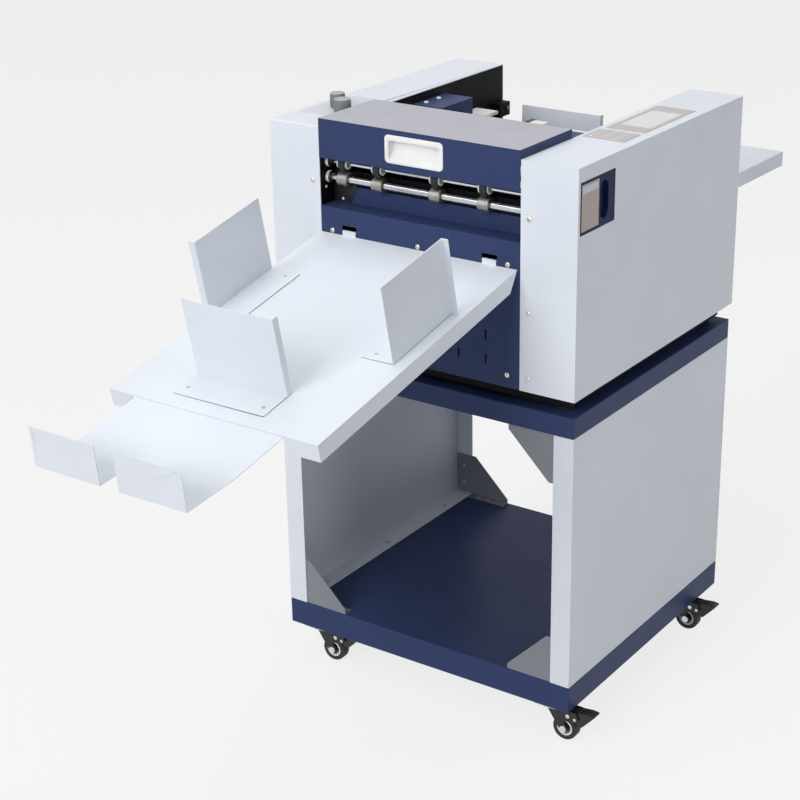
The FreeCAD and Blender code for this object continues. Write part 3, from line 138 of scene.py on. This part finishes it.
def coated(name, code, rough=0.42, change=0.03, gloss=0.5):
    """Powder coat: an even colour with a fine orange-peel skin."""
    peel_scale, peel_depth = 650.0, 0.00006
    made, tree, shader, vector = start(name)
    patches = noise(tree, vector, 5.0)
    colour = between(tree, patches, shaded(code, 1 - change), shaded(code, 1 + change))
    tree.links.new(colour, shader.inputs["Base Color"])
    smears = noise(tree, vector, 14.0, 5.0)
    tree.links.new(spread(tree, smears, rough - 0.05, rough + 0.05), shader.inputs["Roughness"])
    bumped(tree, shader, noise(tree, vector, peel_scale, 2.0), peel_depth)
    shader.inputs["Specular IOR Level"].default_value = gloss
    return made


def metal(name, code, rough=0.25, stretch=(1, 1, 1), scale=300.0, depth=0.00001, change=0.06):
    """Bare or plated metal with fine marks drawn out along one axis."""
    made, tree, shader, vector = start(name)
    shader.inputs["Metallic"].default_value = 1.0
    marks = noise(tree, vector, scale, 4.0, stretch)
    colour = between(tree, marks, shaded(code, 1 - change), shaded(code, 1 + change))
    tree.links.new(colour, shader.inputs["Base Color"])
    tree.links.new(spread(tree, marks, rough * 0.8, rough * 1.3), shader.inputs["Roughness"])
    bumped(tree, shader, marks, depth)
    return made


def moulded(name, code, rough=0.4, depth=0.00003, scale=900.0, change=0.04, gloss=0.5):
    """Moulded plastic or rubber with a fine matt grain."""
    made, tree, shader, vector = start(name)
    patches = noise(tree, vector, 30.0)
    colour = between(tree, patches, shaded(code, 1 - change), shaded(code, 1 + change))
    tree.links.new(colour, shader.inputs["Base Color"])
    tree.links.new(spread(tree, patches, rough - 0.04, rough + 0.04), shader.inputs["Roughness"])
    bumped(tree, shader, noise(tree, vector, scale, 2.0), depth)
    shader.inputs["Specular IOR Level"].default_value = gloss
    return made


white = coated("white_powder_coat", "dbe0e7", 0.45)
navy = coated("navy_powder_coat", "323e63", 0.4, 0.06, gloss=0.12)
door_navy = coated("door_navy", "1b2446", 0.42, 0.06, gloss=0.1)
# painted reflection: a light grey for the cover's top faces, standing for the pale ceiling they reflect
cover_top_reflection = coated("cover_top_painted_reflection", "adacb4", 0.5, 0.04)
grey = coated("grey_powder_coat", "7d8087", 0.5)
black = coated("black_powder_coat", "0d0d10", 0.5, 0.08, gloss=0.1)
knob_grey = moulded("knob_grey", "6d7478", 0.45)
# painted highlight: a lighter grey for the knob's upper cap, where light falls on its top
knob_painted_highlight_top = moulded("knob_painted_highlight_top", "a2a5a7", 0.4)
steel = metal("ground_steel", "c9cacc", 0.17, (1, 1, 1), 40.0, 0.0)
bright_steel = metal("bright_steel", "d6d8da", 0.12, (1, 1, 1), 40.0, 0.0)
# painted shade in the screws' cross recesses, also the finish of one small dark steel part
recess_shade_and_dark_steel = metal("screw_recess_shade_and_dark_steel", "6b6d72", 0.4)
zinc = metal("zinc_plate", "b9bcbd", 0.32)
zinc_yellow = metal("zinc_screw", "d8d2bd", 0.35)
aluminium = metal("aluminium", "c2c4c8", 0.4)
white_plastic = moulded("white_plastic", "e9eae6", 0.35)
black_plastic = moulded("black_plastic", "17171a", 0.42)
fork_black = coated("fork_black", "101012", 0.34, 0.1)
tyre = moulded("tyre_rubber", "1b1b20", 0.62, 0.00006, 500.0, 0.12)
roller_rubber = moulded("roller_rubber", "1c1c1e", 0.6, 0.00005, 700.0, 0.1)
collar_grip = metal("collar_grip", "9d9b96", 0.42, (1, 0.25, 0.25), 700.0, 0.0004, 0.3)
belt_rubber = moulded("belt_rubber", "202022", 0.65)
foot_rubber = moulded("foot_rubber", "1a1a1c", 0.7)
film = moulded("panel_film", "b6b1b0", 0.38, 0.00001, 500.0, 0.03)
film_grey = moulded("film_grey", "cccfd5", 0.4, 0.00001, 500.0, 0.03)
film_pale = moulded("key_film", "c3bebe", 0.36, 0.00001, 500.0, 0.03)
label_beige = moulded("door_plate", "b3a49b", 0.42, 0.00001, 500.0, 0.04)
cream = moulded("cream_pad", "ebe5df", 0.5)
# painted shade: a near-black sheet standing for the dark opening behind the exit rollers
painted_shade_liner = moulded("painted_shade_liner", "060607", 0.6, gloss=0.1)
screen = moulded("screen_film", "d5d6d3", 0.2, 0.000005, 500.0, 0.03)
magnet = moulded("magnetic_sheet", "151517", 0.7, 0.00003)

finish_of = {
    "white_paint": white, "navy_paint": navy, "grey_paint": grey, "black_paint": black,
    "steel": steel, "zinc": zinc, "aluminium": aluminium, "white_plastic": white_plastic,
    "black_plastic": black_plastic, "panel_film": film, "tyre_rubber": tyre,
    "roller_rubber": roller_rubber, "collar_grip": collar_grip, "belt_rubber": belt_rubber,
    "foot_rubber": foot_rubber,
}

special = {"access_door": door_navy}
special.update({name: fork_black for name in nodes if name.startswith("caster_fork")})
slot_of = {part["node"]: part["material_slot"] for part in frame["record"]["subparts"]}
for name, obj in nodes.items():
    obj.data.materials.clear()
    obj.data.materials.append(special.get(name, finish_of[slot_of[name]]))


# ---- mesh tools ----------------------------------------------------------------------------

def on_slope(origin, slope, place):
    """A place given in the tray's or the feed table's own millimetres, in the machine's."""
    return origin + Matrix.Rotation(slope, 3, "X") @ Vector(place)


def facing(direction):
    """A turn that points +Z along a direction."""
    return Vector(direction).normalized().to_track_quat("Z", "Y").to_matrix().to_4x4()


class Build:
    """One Blender piece, gathered from several closed shapes in the machine's millimetres."""

    def __init__(self, *materials):
        self.mesh = bmesh.new()
        self.materials = materials

    def keep(self, faces, material):
        """Give new faces their material, by its place in the list, and smooth shading."""
        for face in faces:
            face.material_index = material
            face.smooth = True

    def box(self, low, high, edge, material=0):
        """A block between two corners, with rounded edges."""
        low, high = Vector(low), Vector(high)
        earlier = set(self.mesh.faces)
        made = bmesh.ops.create_cube(self.mesh, size=1)
        size = high - low
        for vert in made["verts"]:
            vert.co = Vector([low[i] + (vert.co[i] + 0.5) * size[i] for i in range(3)])
        edges = list(dict.fromkeys(e for vert in made["verts"] for e in vert.link_edges))
        bmesh.ops.bevel(self.mesh, geom=edges, offset=edge, segments=3, profile=0.5, affect="EDGES")
        self.keep([face for face in self.mesh.faces if face not in earlier], material)

    def lathe(self, place, direction, profile, material=0, count=32):
        """A profile of (radius, height) turned about an axis. It closes on the axis at radius 0."""
        turn = Matrix.Translation(place) @ facing(direction)
        rings = []
        for radius, height in profile:
            if radius == 0:
                rings.append([self.mesh.verts.new(turn @ Vector((0, 0, height)))])
                continue
            rings.append([
                self.mesh.verts.new(turn @ Vector((
                    radius * math.cos(2 * math.pi * i / count),
                    radius * math.sin(2 * math.pi * i / count),
                    height,
                )))
                for i in range(count)
            ])
        self.bridge(rings, material)

    def bridge(self, rings, material):
        """Faces between rings of points. A ring of one point closes the shape there."""
        faces = []
        for low, high in zip(rings, rings[1:]):
            count = max(len(low), len(high))
            for i in range(count):
                j = (i + 1) % count
                corners = [low[i % len(low)], low[j % len(low)], high[j % len(high)], high[i % len(high)]]
                corners = [c for n, c in enumerate(corners) if c not in corners[:n]]
                faces.append(self.mesh.faces.new(corners))
        self.keep(faces, material)

    def loft(self, loops, material=0):
        """A skin through loops of points of equal count, with a face over each end."""
        rings = [[self.mesh.verts.new(p) for p in loop] for loop in loops]
        self.bridge(rings, material)
        self.keep([self.mesh.faces.new(rings[0]), self.mesh.faces.new(rings[-1])], material)

    def done(self, name, body, sharp=32):
        """The finished piece, riding on its body, with edges sharper than an angle kept crisp."""
        bmesh.ops.recalc_face_normals(self.mesh, faces=self.mesh.faces)
        for vert in self.mesh.verts:
            vert.co = at(*vert.co)
        mesh = bpy.data.meshes.new(name)
        self.mesh.to_mesh(mesh)
        self.mesh.free()
        mesh.set_sharp_from_angle(angle=math.radians(sharp))
        for material in self.materials:
            mesh.materials.append(material)
        obj = bpy.data.objects.new(name, mesh)
        bpy.context.collection.objects.link(obj)
        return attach(obj, body)


def rounded(x, z, radius, y, steps=5):
    """A loop round a rectangle with round corners, upright at depth y."""
    loop = []
    for cx, cz, first in (
        (x[1] - radius, z[1] - radius, 0), (x[0] + radius, z[1] - radius, 90),
        (x[0] + radius, z[0] + radius, 180), (x[1] - radius, z[0] + radius, 270),
    ):
        for i in range(steps + 1):
            angle = math.radians(first + 90 * i / steps)
            loop.append((cx + radius * math.cos(angle), y, cz + radius * math.sin(angle)))
    return loop


def flat_loop(x, y, radius, z):
    """A loop round a rectangle with round corners, level at height z."""
    return [(px, py, z) for px, _, py in rounded(x, y, radius, 0)]


def screw(build, place, direction, radius=4.5, height=2.0, material=0, recess=1):
    """A pan head with a cross recess, standing on a surface."""
    turn = Matrix.Translation(place) @ facing(direction)
    arm, reach, depth, count = radius * 0.16, radius * 0.58, height * 0.45, 48
    rings = []
    for share in (1.0, 1.0, 0.94, 0.82, 0.66, 0.6, 0.5, 0.38, 0.28, 0.2, 0.1):
        ring = []
        for i in range(count):
            angle = 2 * math.pi * i / count
            x, y = radius * share * math.cos(angle), radius * share * math.sin(angle)
            z = height * (1 - 0.45 * share ** 4)
            if not rings:
                z = 0
            elif min(abs(x), abs(y)) < arm and radius * share < reach:
                z -= depth
            ring.append(build.mesh.verts.new(turn @ Vector((x, y, z))))
        rings.append(ring)
    middle = build.mesh.verts.new(turn @ Vector((0, 0, height - depth)))
    build.bridge(rings, material)
    # The cross recess takes a darker finish, painted shade in the recess.
    build.bridge([rings[-1], [middle]], recess)


def paint(node, material, test):
    """Give the faces of a CAD node that pass a test, on place and normal, another finish."""
    mesh = nodes[node].data
    mesh.materials.append(material)
    for face in mesh.polygons:
        place = face.center * 1000 - Vector((MID_X, FRONT_Y, 0))
        if test(place, face.normal):
            face.material_index = len(mesh.materials) - 1


def folded(width, *names):
    """Round the edges of sheet-metal or moulded nodes, by a width in millimetres."""
    for name in names:
        obj = nodes[name]
        weld = obj.modifiers.new("weld", "WELD")
        weld.merge_threshold = 0.00002
        bevel = obj.modifiers.new("fold", "BEVEL")
        bevel.width = width / 1000
        bevel.segments = 3
        bevel.limit_method = "ANGLE"
        bevel.angle_limit = math.radians(40)
        bevel.harden_normals = True


# ---- finishes laid over the CAD nodes ------------------------------------------------------

def under_foot(place, origin, slope, level):
    """True for what lies below a level over a slope: the magnetic sheet under a guide's foot."""
    return (Matrix.Rotation(-slope, 3, "X") @ (place - origin)).z < level


def paint_bridge():
    """The bridge's screws, and behind them the black rail with its clip and its pale pads."""
    screw_end, screw_back, left_top, right_top = (180, 208), 400, 1078.01, 1041.01
    rail_front, rail_back, pad_bottom, pad_top = 440, 471, 1024, 1031
    clip_left, clip_right = -63, -50
    paint("feed_bridge", white_plastic, lambda p, n: (
        screw_end[0] < abs(p.x) < screw_end[1] and p.y < screw_back
        and p.z > (right_top if p.x > 0 else left_top)
    ))
    paint("feed_bridge", black_plastic, lambda p, n: (
        p.y > rail_front and p.z < pad_top
        and (p.y < rail_back and p.z < pad_bottom + 0.01 or p.x > clip_left - 3)
    ))
    paint("feed_bridge", cream, lambda p, n: (
        p.y > rail_front and pad_bottom - 0.01 < p.z < pad_top and not clip_left < p.x < clip_right
    ))


def paint_nodes():
    """Second finishes on the CAD nodes that hold pieces of more than one material."""
    # The cover's upward faces get the light grey, a painted reflection of a pale ceiling.
    paint("top_cover", cover_top_reflection, lambda p, n: n.z > 0.9 and p.z > COVER_TOP - 0.5)
    for name in ("left_paper_guide", "right_paper_guide", "front_paper_stop"):
        paint(name, magnet, lambda p, n: under_foot(p, TRAY, TRAY_SLOPE, 0.79))
    paint("feed_backstop", magnet, lambda p, n: under_foot(p, FEED, FEED_SLOPE, 0.9))
    display_front, bezel_top = 262, 1096.5
    paint("control_panel", screen, lambda p, n: n.z > 0.9 and p.z < bezel_top and p.y > display_front)
    infeed_blocks = 400
    paint("shaft_bearings", black_plastic, lambda p, n: p.y > infeed_blocks or abs(n.x) > 0.9)
    paint_bridge()
    gearbox = 170
    paint("drive_motor", aluminium, lambda p, n: abs(p.x) > gearbox)
    inlet_x, pins_y, pins_z = 265, (594, 610.1), (715, 728)
    paint("mains_inlet", steel, lambda p, n: (
        pins_y[0] < p.y < pins_y[1] and pins_z[0] < p.z < pins_z[1] and abs(p.x - inlet_x) < 8
    ))
    hub_ring, fork_cheek = 11, 14.01
    for side, (x, y) in CASTERS.items():
        paint("caster_hub_" + side, black_plastic,
              lambda p, n: math.hypot(p.x - x - TRAIL, p.z - WHEEL) < hub_ring)
        paint("caster_fork_" + side, bright_steel, lambda p, n: abs(p.y - y) > fork_cheek)


def fold_nodes():
    """The bend radius of each pan and moulding, widest on the large covers."""
    folded(1.6, "left_side_cover", "right_side_cover", "trolley_base", "trolley_shelf")
    folded(0.7, "trolley_left_panel", "trolley_right_panel", "front_apron", "top_cover")
    folded(0.5, "delivery_tray", "feed_table", "delivery_extension", "left_paper_guide",
           "right_paper_guide", "front_paper_stop", "feed_backstop", "gussets", "rear_panel")
    folded(0.4, "control_panel", "mains_inlet", "chassis_base", "crease_beam", "crease_anvil",
           "access_door", "feed_bridge", "left_side_frame", "right_side_frame")


# ---- small pieces --------------------------------------------------------------------------

def cover_screw_heads():
    """The plated screws of both cabinets and of the apron, the last one in its middle."""
    build = Build(zinc_yellow, recess_shade_and_dark_steel)
    cabinet, apron = 226.5, 185
    high, middle, apron_high, low = 995.7, 829, 909.5, 709.4
    for side in (-1, 1):
        for x, z in ((cabinet, high), (cabinet, middle), (cabinet, low), (apron, apron_high), (apron, low)):
            screw(build, (side * x, 0, z), (0, -1, 0))
    screw(build, (0, 0, apron_high), (0, -1, 0))
    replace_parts(build.done("cover_screw_heads", "machine"), "cover_screws")


def guide_screws():
    """Two countersunk screws through each guide's foot into its magnetic sheet."""
    foot, near, far, half = 42, 15, 157, 76
    left_x, left_y = -208.6 + foot, -322
    right_x, right_y = 180 - foot, -337
    stop_x, stop_y = -13, -478 - foot
    back_x, back_y = -84.5, 16 + foot
    for body, origin, slope, places in (
        ("left_guide", TRAY, TRAY_SLOPE, [(left_x, left_y + near), (left_x, left_y + far)]),
        ("right_guide", TRAY, TRAY_SLOPE, [(right_x, right_y + near), (right_x, right_y + far)]),
        ("front_stop", TRAY, TRAY_SLOPE, [(stop_x - half, stop_y), (stop_x + half, stop_y)]),
        ("backstop", FEED, FEED_SLOPE, [(back_x - half, back_y), (back_x + half, back_y)]),
    ):
        build = Build(zinc, recess_shade_and_dark_steel)
        up = on_slope(Vector(), slope, (0, 0, 1))
        for x, y in places:
            screw(build, on_slope(origin, slope, (x, y, FOOT_TOP)), up, 3.4, 0.8)
        build.done(body + "_screws", body)


def handle():
    """The recessed pull: a rounded rim round a scoop whose floor slopes up to the back."""
    front, x, z = -1.5, (-65.0, 56.0), (1052.0, 1102.0)
    build = Build(white_plastic)
    build.loft([
        rounded((x[0] + side, x[1] - side), (z[0] + low, z[1] - high), radius, front + depth, 6)
        for side, low, high, depth, radius in (
            # in from the rim's sides, bottom and top, the depth behind its face, the corners' radius
            (8, 20, 6.6, 14.6, 4), (6.4, 12, 6.4, 14.4, 5), (6.2, 6.2, 6.2, 0, 6), (0, 0, 0, 0, 8),
            (0, 0, 0, -1, 8), (0.5, 0.5, 0.5, -1.7, 7.6), (1.3, 1.3, 1.3, -2, 7),
            (6.8, 5.2, 8.6, -2, 4.6), (7.4, 5.8, 9.4, -1.8, 4.4), (7.8, 6.2, 9.8, -1.2, 4.2),
            (7.8, 6.4, 9.6, 0.6, 4), (7.2, 7.4, 7.6, 2.2, 4), (7.2, 12.5, 7.4, 7, 4),
            (7.4, 19, 7.4, 11.8, 4), (8.6, 24, 8.2, 13.2, 3.6),
        )
    ])
    piece = build.done("cover_handle_pull", "cover", sharp=50)
    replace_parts(piece, "cover_handle")


def knob(name, body, node, x, y, radius):
    """A knurled setting knob with a pointer groove, its stem and nut."""
    build = Build(knob_grey, steel, knob_painted_highlight_top)
    count, rib_depth, base, top = 96, 0.45, 1096.0, 1123.0

    def ring(reach, height, ribbed=False):
        """A round at a height over the knob's base, with every third point drawn in if ribbed."""
        loop = []
        for i in range(count):
            angle = 2 * math.pi * i / count
            here = reach - (rib_depth if ribbed and i % 3 == 0 else 0)
            loop.append((x + here * math.cos(angle), y + here * math.sin(angle), base + height))
        return loop

    build.loft([
        ring(3.2, 0), ring(radius - 1.3, 0), ring(radius - 0.5, 0.6), ring(radius - 0.5, 4.5),
        ring(radius - 0.1, 5.0, True), ring(radius - 0.1, 23.5, True),
        ring(radius - 0.8, 24.6), ring(radius - 0.8, 26.0), ring(3, 26.0),
    ])
    # The cap's upper rings take the lighter grey, a painted highlight on the lit top.
    build.loft([
        ring(radius - 0.85, 25.9), ring(radius - 0.85, 26.4), ring(radius - 1.6, 27.2),
        ring(radius - 2.6, 27.6), ring(radius - 3.2, 27.2), ring(4, 27.2),
    ], 2)
    build.lathe((x, y, 1089.8), UPWARD, [(0, 0), (5, 0), (5, 3.8), (3, 3.8), (3, 8), (0, 8)], 1, 24)
    build.box((x - 0.5, y - 11, top), (x + 0.5, y - 2, top + 0.5), 0.15, 1)
    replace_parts(build.done(name, body), node)


def collars():
    """Four knurled grip collars on the exit drive shaft."""
    build = Build(collar_grip)
    for x in ROLLER_X:
        build.lathe((x - 11.3, EXIT_Y, DRIVE_Z), ACROSS, [
            (8.2, 0.4), (12.6, 0.4), (13.4, 1.2), (13.4, 11.3), (13.4, 21.4), (12.6, 22.2), (8.2, 22.2),
        ], count=64)
    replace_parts(build.done("grip_collars", "exit_drive"), "exit_collars")


def idlers():
    """The thin upper shaft with four free rollers, each a black tyre on a pale hollow hub."""
    build = Build(bright_steel, roller_rubber, white_plastic)
    build.lathe((-220, EXIT_Y, IDLER_Z), ACROSS, [
        (0, 0), (3.5, 0), (4, 0.5), (4, 439.5), (3.5, 440), (0, 440),
    ])
    for x in ROLLER_X:
        build.lathe((x - 11.2, EXIT_Y, IDLER_Z), ACROSS, [
            (4, 3.6), (6.4, 3.6), (7.0, 0.2), (9.8, 0.2), (10.8, 1.0), (10.8, 6), (10.8, 16), (10.8, 19.7),
            (9.8, 20.5), (7.0, 20.5), (6.4, 17.0), (4, 17.0),
        ], 2, 64)
        build.lathe((x - 5.2, EXIT_Y, IDLER_Z), ACROSS, [
            (10.6, 0), (14.4, 0), (15.2, 0.8), (15.2, 12.4), (14.4, 13.2), (10.6, 13.2),
        ], 1, 64)
    build.lathe((-219, EXIT_Y, IDLER_Z), ACROSS, [(4, 0), (6, 0), (6, 1.5), (4, 1.5)])
    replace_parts(build.done("exit_idlers", "exit_idler"), "exit_idler_rollers")


def frame_fittings():
    """Screws on the black frames beside the rollers, the sensor plate, and near-black sheets behind them as
    painted shade of the dark opening.
    """
    build = Build(white_plastic, black_plastic, recess_shade_and_dark_steel, painted_shade_liner)
    for side in (-1, 1):
        for y, z in ((17.2, 982.9), (60, 1040), (96, 1040)):
            screw(build, (side * THROAT, y, z), (-side, 0, 0), 2.6, 1.6, 0, 2)
    plate_front, plate_back, shaded_opening_top = 40.6, 41.15, 1010.8
    outline = ((-209, 952.2), (-173, 952.2), (-160, 977), (-160, shaded_opening_top), (-209, shaded_opening_top))
    build.loft([[(x, y, z) for x, z in outline] for y in (plate_front, plate_back)], 1)
    screw(build, (-190, plate_front, 958), (0, -1, 0), 2.4, 0.8, 0, 2)
    # Near-black sheets upright behind the rollers and over them: painted shade standing for the dark
    # opening.
    build.box((-209.5, 41.2, 983), (209.5, 41.5, shaded_opening_top), 0.05, 3)
    build.box((-209.5, 41.5, 1011), (209.5, 104, 1011.3), 0.05, 3)
    build.lathe((-192, 600, 1011), ACROSS, [(0, 0), (5, 0), (5, 2.2), (4.4, 2.8), (0, 2.8)], 2, 24)
    build.done("frame_fittings", "machine")


def labels():
    """Thin films: the scale plate under the knobs, the blank plate on the side door, the keys."""
    build = Build(film_grey)
    build.loft([flat_loop((-309, -221), (71, 221), 3, CABINET_TOP + rise) for rise in (0, 0.25)])
    build.done("knob_scale_film", "machine")

    build = Build(label_beige, film_grey)
    door_face = 320
    outline = rounded((11, 68), (985, 1065), 1.5, 0)
    build.loft([[(door_face + rise, y, z) for y, _, z in outline] for rise in (0, 0.2)])
    build.box((door_face + 0.1, 14, 1049), (door_face + 0.3, 65, 1061), 0.05, 1)
    build.done("door_plate", "door")

    build = Build(film_pale, white_plastic)
    keypad_top, first_x, first_y, step_x, step_y = 1096.9, 230, 196, 24, 15
    for row in range(4):
        for column in range(3):
            x, y = first_x + column * step_x, first_y + row * step_y
            if row == 0 and column == 0:
                button = [(0, 0), (2.6, 0), (2.6, 0.5), (2.0, 0.9), (0, 1.0)]
                build.lathe((x, y, keypad_top - 0.1), UPWARD, button, 1, 24)
                continue
            build.loft([
                flat_loop((x - half_x, x + half_x), (y - half_y, y + half_y), radius, keypad_top + rise)
                for half_x, half_y, radius, rise in (
                    (8, 4.5, 2, -0.05), (8, 4.5, 2, 0.15), (7.4, 3.9, 1.6, 0.35)
                )
            ])
    build.done("keypad_keys", "machine")


def trolley_screws():
    """Screws through the base pan's floor and through the posts into the gussets."""
    build = Build(zinc, recess_shade_and_dark_steel)
    floor, front_post, rear_post = 127, 4, 599
    for side in (-1, 1):
        for y in (90, 300, 513):
            screw(build, (side * 296, y, floor), UPWARD, 4.0, 1.8)
        for x in (232, 258):
            screw(build, (side * x, 13, floor), UPWARD, 3.4, 1.6)
            screw(build, (side * x, 590, floor), UPWARD, 3.4, 1.6)
        for z in (150, 190, 545, 590):
            screw(build, (side * 300, front_post, z), (0, 1, 0), 3.4, 1.6)
            screw(build, (side * 300, rear_post, z), (0, -1, 0), 3.4, 1.6)
    build.done("trolley_screws", "machine")


def pedals():
    """The brake pedal of each caster: a ribbed wedge with a foot pad above and a release lip below."""
    cheek = ((36, 57.5), (37, 52.8), (47, 50), (56, 43.2), (62, 40.2), (71, 37.7), (96.8, 66),
             (95.4, 68.3), (84, 69.4), (60, 66.5), (38, 61.8))
    pad = ((36, 58.5), (58, 61.5), (84, 65.8), (95, 64.4), (96.8, 66), (95.4, 68.3), (84, 69.4),
           (60, 66.5), (38, 61.8))
    lip = ((71, 37.7), (96.8, 66), (93.5, 65.5), (69.8, 40), (62, 42.6), (62, 40.2))
    for side, (x, y) in CASTERS.items():
        build = Build(black_plastic)
        for outline, low, high in (
            (cheek, -10.8, -8.2), (cheek, 8.2, 10.8), (cheek, -1.2, 1.2),
            (pad, -10.7, 10.7), (lip, -10.7, 10.7),
        ):
            build.loft([[(x + px, y + depth, pz) for px, pz in outline] for depth in (low, high)])
        for rib in range(4):
            place = x + 66 + 7 * rib
            build.box((place, y - 9.5, 66.5 + rib), (place + 2, y + 9.5, 68.9 + 0.45 * rib), 0.4)
        piece = build.done("caster_brake_" + side, "pedal_" + side)
        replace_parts(piece, "caster_pedal_" + side)


# ---- floor, backdrop and light ------------------------------------------------------------

def looking(tree):
    """1 for the rays that look at the surroundings: from the camera, off gloss or through glass."""
    path = tree.nodes.new("ShaderNodeLightPath")
    seen = path.outputs["Is Camera Ray"]
    for kind in ("Is Glossy Ray", "Is Transmission Ray"):
        either = tree.nodes.new("ShaderNodeMath")
        either.operation = "MAXIMUM"
        tree.links.new(seen, either.inputs[0])
        tree.links.new(path.outputs[kind], either.inputs[1])
        seen = either.outputs[0]
    return seen


def backdrop(name, code, rough, glow_share):
    """A matt sweep that is seen part lit and part pale of itself, so that it stays light far off."""
    made, tree, shader, vector = start(name)
    colour = between(tree, noise(tree, vector, 2.0), shaded(code, 0.995), shaded(code, 1.0))
    tree.links.new(colour, shader.inputs["Base Color"])
    shader.inputs["Roughness"].default_value = rough
    share = tree.nodes.new("ShaderNodeMath")
    share.operation = "MULTIPLY"
    share.inputs[1].default_value = glow_share
    tree.links.new(looking(tree), share.inputs[0])
    glow = tree.nodes.new("ShaderNodeEmission")
    mix = tree.nodes.new("ShaderNodeMixShader")
    tree.links.new(share.outputs[0], mix.inputs["Fac"])
    tree.links.new(shader.outputs["BSDF"], mix.inputs[1])
    tree.links.new(glow.outputs["Emission"], mix.inputs[2])
    tree.links.new(mix.outputs["Shader"], tree.nodes["Material Output"].inputs["Surface"])
    return made


def studio():
    """A pale sweep: floor, a wide bend and a wall behind, in metres."""
    section = ((-24, 0), (8, 0), (9.5, 0.2), (11, 1), (12, 2.4), (12.2, 4), (12.2, 12))
    made = bmesh.new()
    left, right = ([made.verts.new((side, y, z)) for y, z in section] for side in (-24, 24))
    for i in range(len(section) - 1):
        made.faces.new((left[i], right[i], right[i + 1], left[i + 1])).smooth = True
    mesh = bpy.data.meshes.new("studio_sweep")
    made.to_mesh(mesh)
    made.free()
    mesh.materials.append(backdrop("studio_floor", "c9c9cc", 0.85, 0.8))
    obj = bpy.data.objects.new("studio_sweep", mesh)
    bpy.context.collection.objects.link(obj)


def lamp(name, place, towards, size, power):
    """A white rectangular lamp of a power in watts, pointed at a place in metres."""
    data = bpy.data.lights.new(name, "AREA")
    data.shape = "RECTANGLE"
    data.size, data.size_y = size
    data.energy = power
    obj = bpy.data.objects.new(name, data)
    obj.location = place
    obj.rotation_mode = "QUATERNION"
    obj.rotation_quaternion = (Vector(towards) - Vector(place)).to_track_quat("-Z", "Y")
    bpy.context.collection.objects.link(obj)


def camera():
    """The photograph's own view: place, heading and lens come from the solved picture."""
    picture, focal, centre_x, centre_y = 800, 1843.1, 463.4, 409.4  # in pixels
    data = bpy.data.cameras.new("photo_camera")
    data.sensor_width = 36.0
    data.lens = focal * data.sensor_width / picture
    data.shift_x = (picture / 2 - centre_x) / picture
    data.shift_y = (centre_y - picture / 2) / picture
    data.clip_start, data.clip_end = 0.05, 60
    heading, tilt, roll = (math.radians(angle) for angle in (33.43, 22.64, -0.27))
    away = Vector((math.sin(heading) * math.cos(tilt), -math.cos(heading) * math.cos(tilt), math.sin(tilt)))
    turn = (-away).to_track_quat("-Z", "Y").to_matrix() @ Matrix.Rotation(roll, 3, "Z")
    obj = bpy.data.objects.new("photo_camera", data)
    obj.rotation_mode = "QUATERNION"
    obj.rotation_quaternion = turn.to_quaternion()
    obj.location = (1.7359, -2.6696, 1.8840)
    bpy.context.collection.objects.link(obj)
    bpy.context.scene.camera = obj


def light():
    """A dim cool world that looks pale, and four lamps: from the front, the right and above."""
    world = bpy.data.worlds.new("studio")
    world.use_nodes = True
    tree = world.node_tree
    dim = tree.nodes["Background"]
    dim.inputs["Color"].default_value = (0.95, 0.97, 1.0, 1)
    dim.inputs["Strength"].default_value = 0.36
    pale = tree.nodes.new("ShaderNodeBackground")
    pale.inputs["Color"].default_value = (1, 1, 1, 1)
    pale.inputs["Strength"].default_value = 0.86
    mix = tree.nodes.new("ShaderNodeMixShader")
    tree.links.new(looking(tree), mix.inputs["Fac"])
    tree.links.new(dim.outputs["Background"], mix.inputs[1])
    tree.links.new(pale.outputs["Background"], mix.inputs[2])
    tree.links.new(mix.outputs["Shader"], tree.nodes["World Output"].inputs["Surface"])
    bpy.context.scene.world = world
    lamp("key", (-0.7, -7.4, 4.6), (0, -0.2, 0.5), (4.0, 4.0), 375)
    lamp("fill", (5.2, -1.0, 2.6), (0, 0, 0.6), (2.6, 2.6), 46)
    lamp("top", (-0.4, -0.1, 4.6), (0, 0, 0.8), (3.0, 3.0), 70)
    lamp("glint", (-4.1, -4.6, 6.1), (0, -0.15, 1.0), (3.0, 1.2), 30)
    bpy.context.scene.view_settings.view_transform = "Standard"


paint_nodes()
fold_nodes()
cover_screw_heads()
guide_screws()
handle()
knob("front_knob_cap", "front_knob", "front_adjust_knob", -231.0, 100.2, 15.8)
knob("rear_knob_cap", "rear_knob", "rear_adjust_knob", -267.7, 134.6, 14.1)
collars()
idlers()
frame_fittings()
labels()
trolley_screws()
pedals()
camera()
studio()
light()
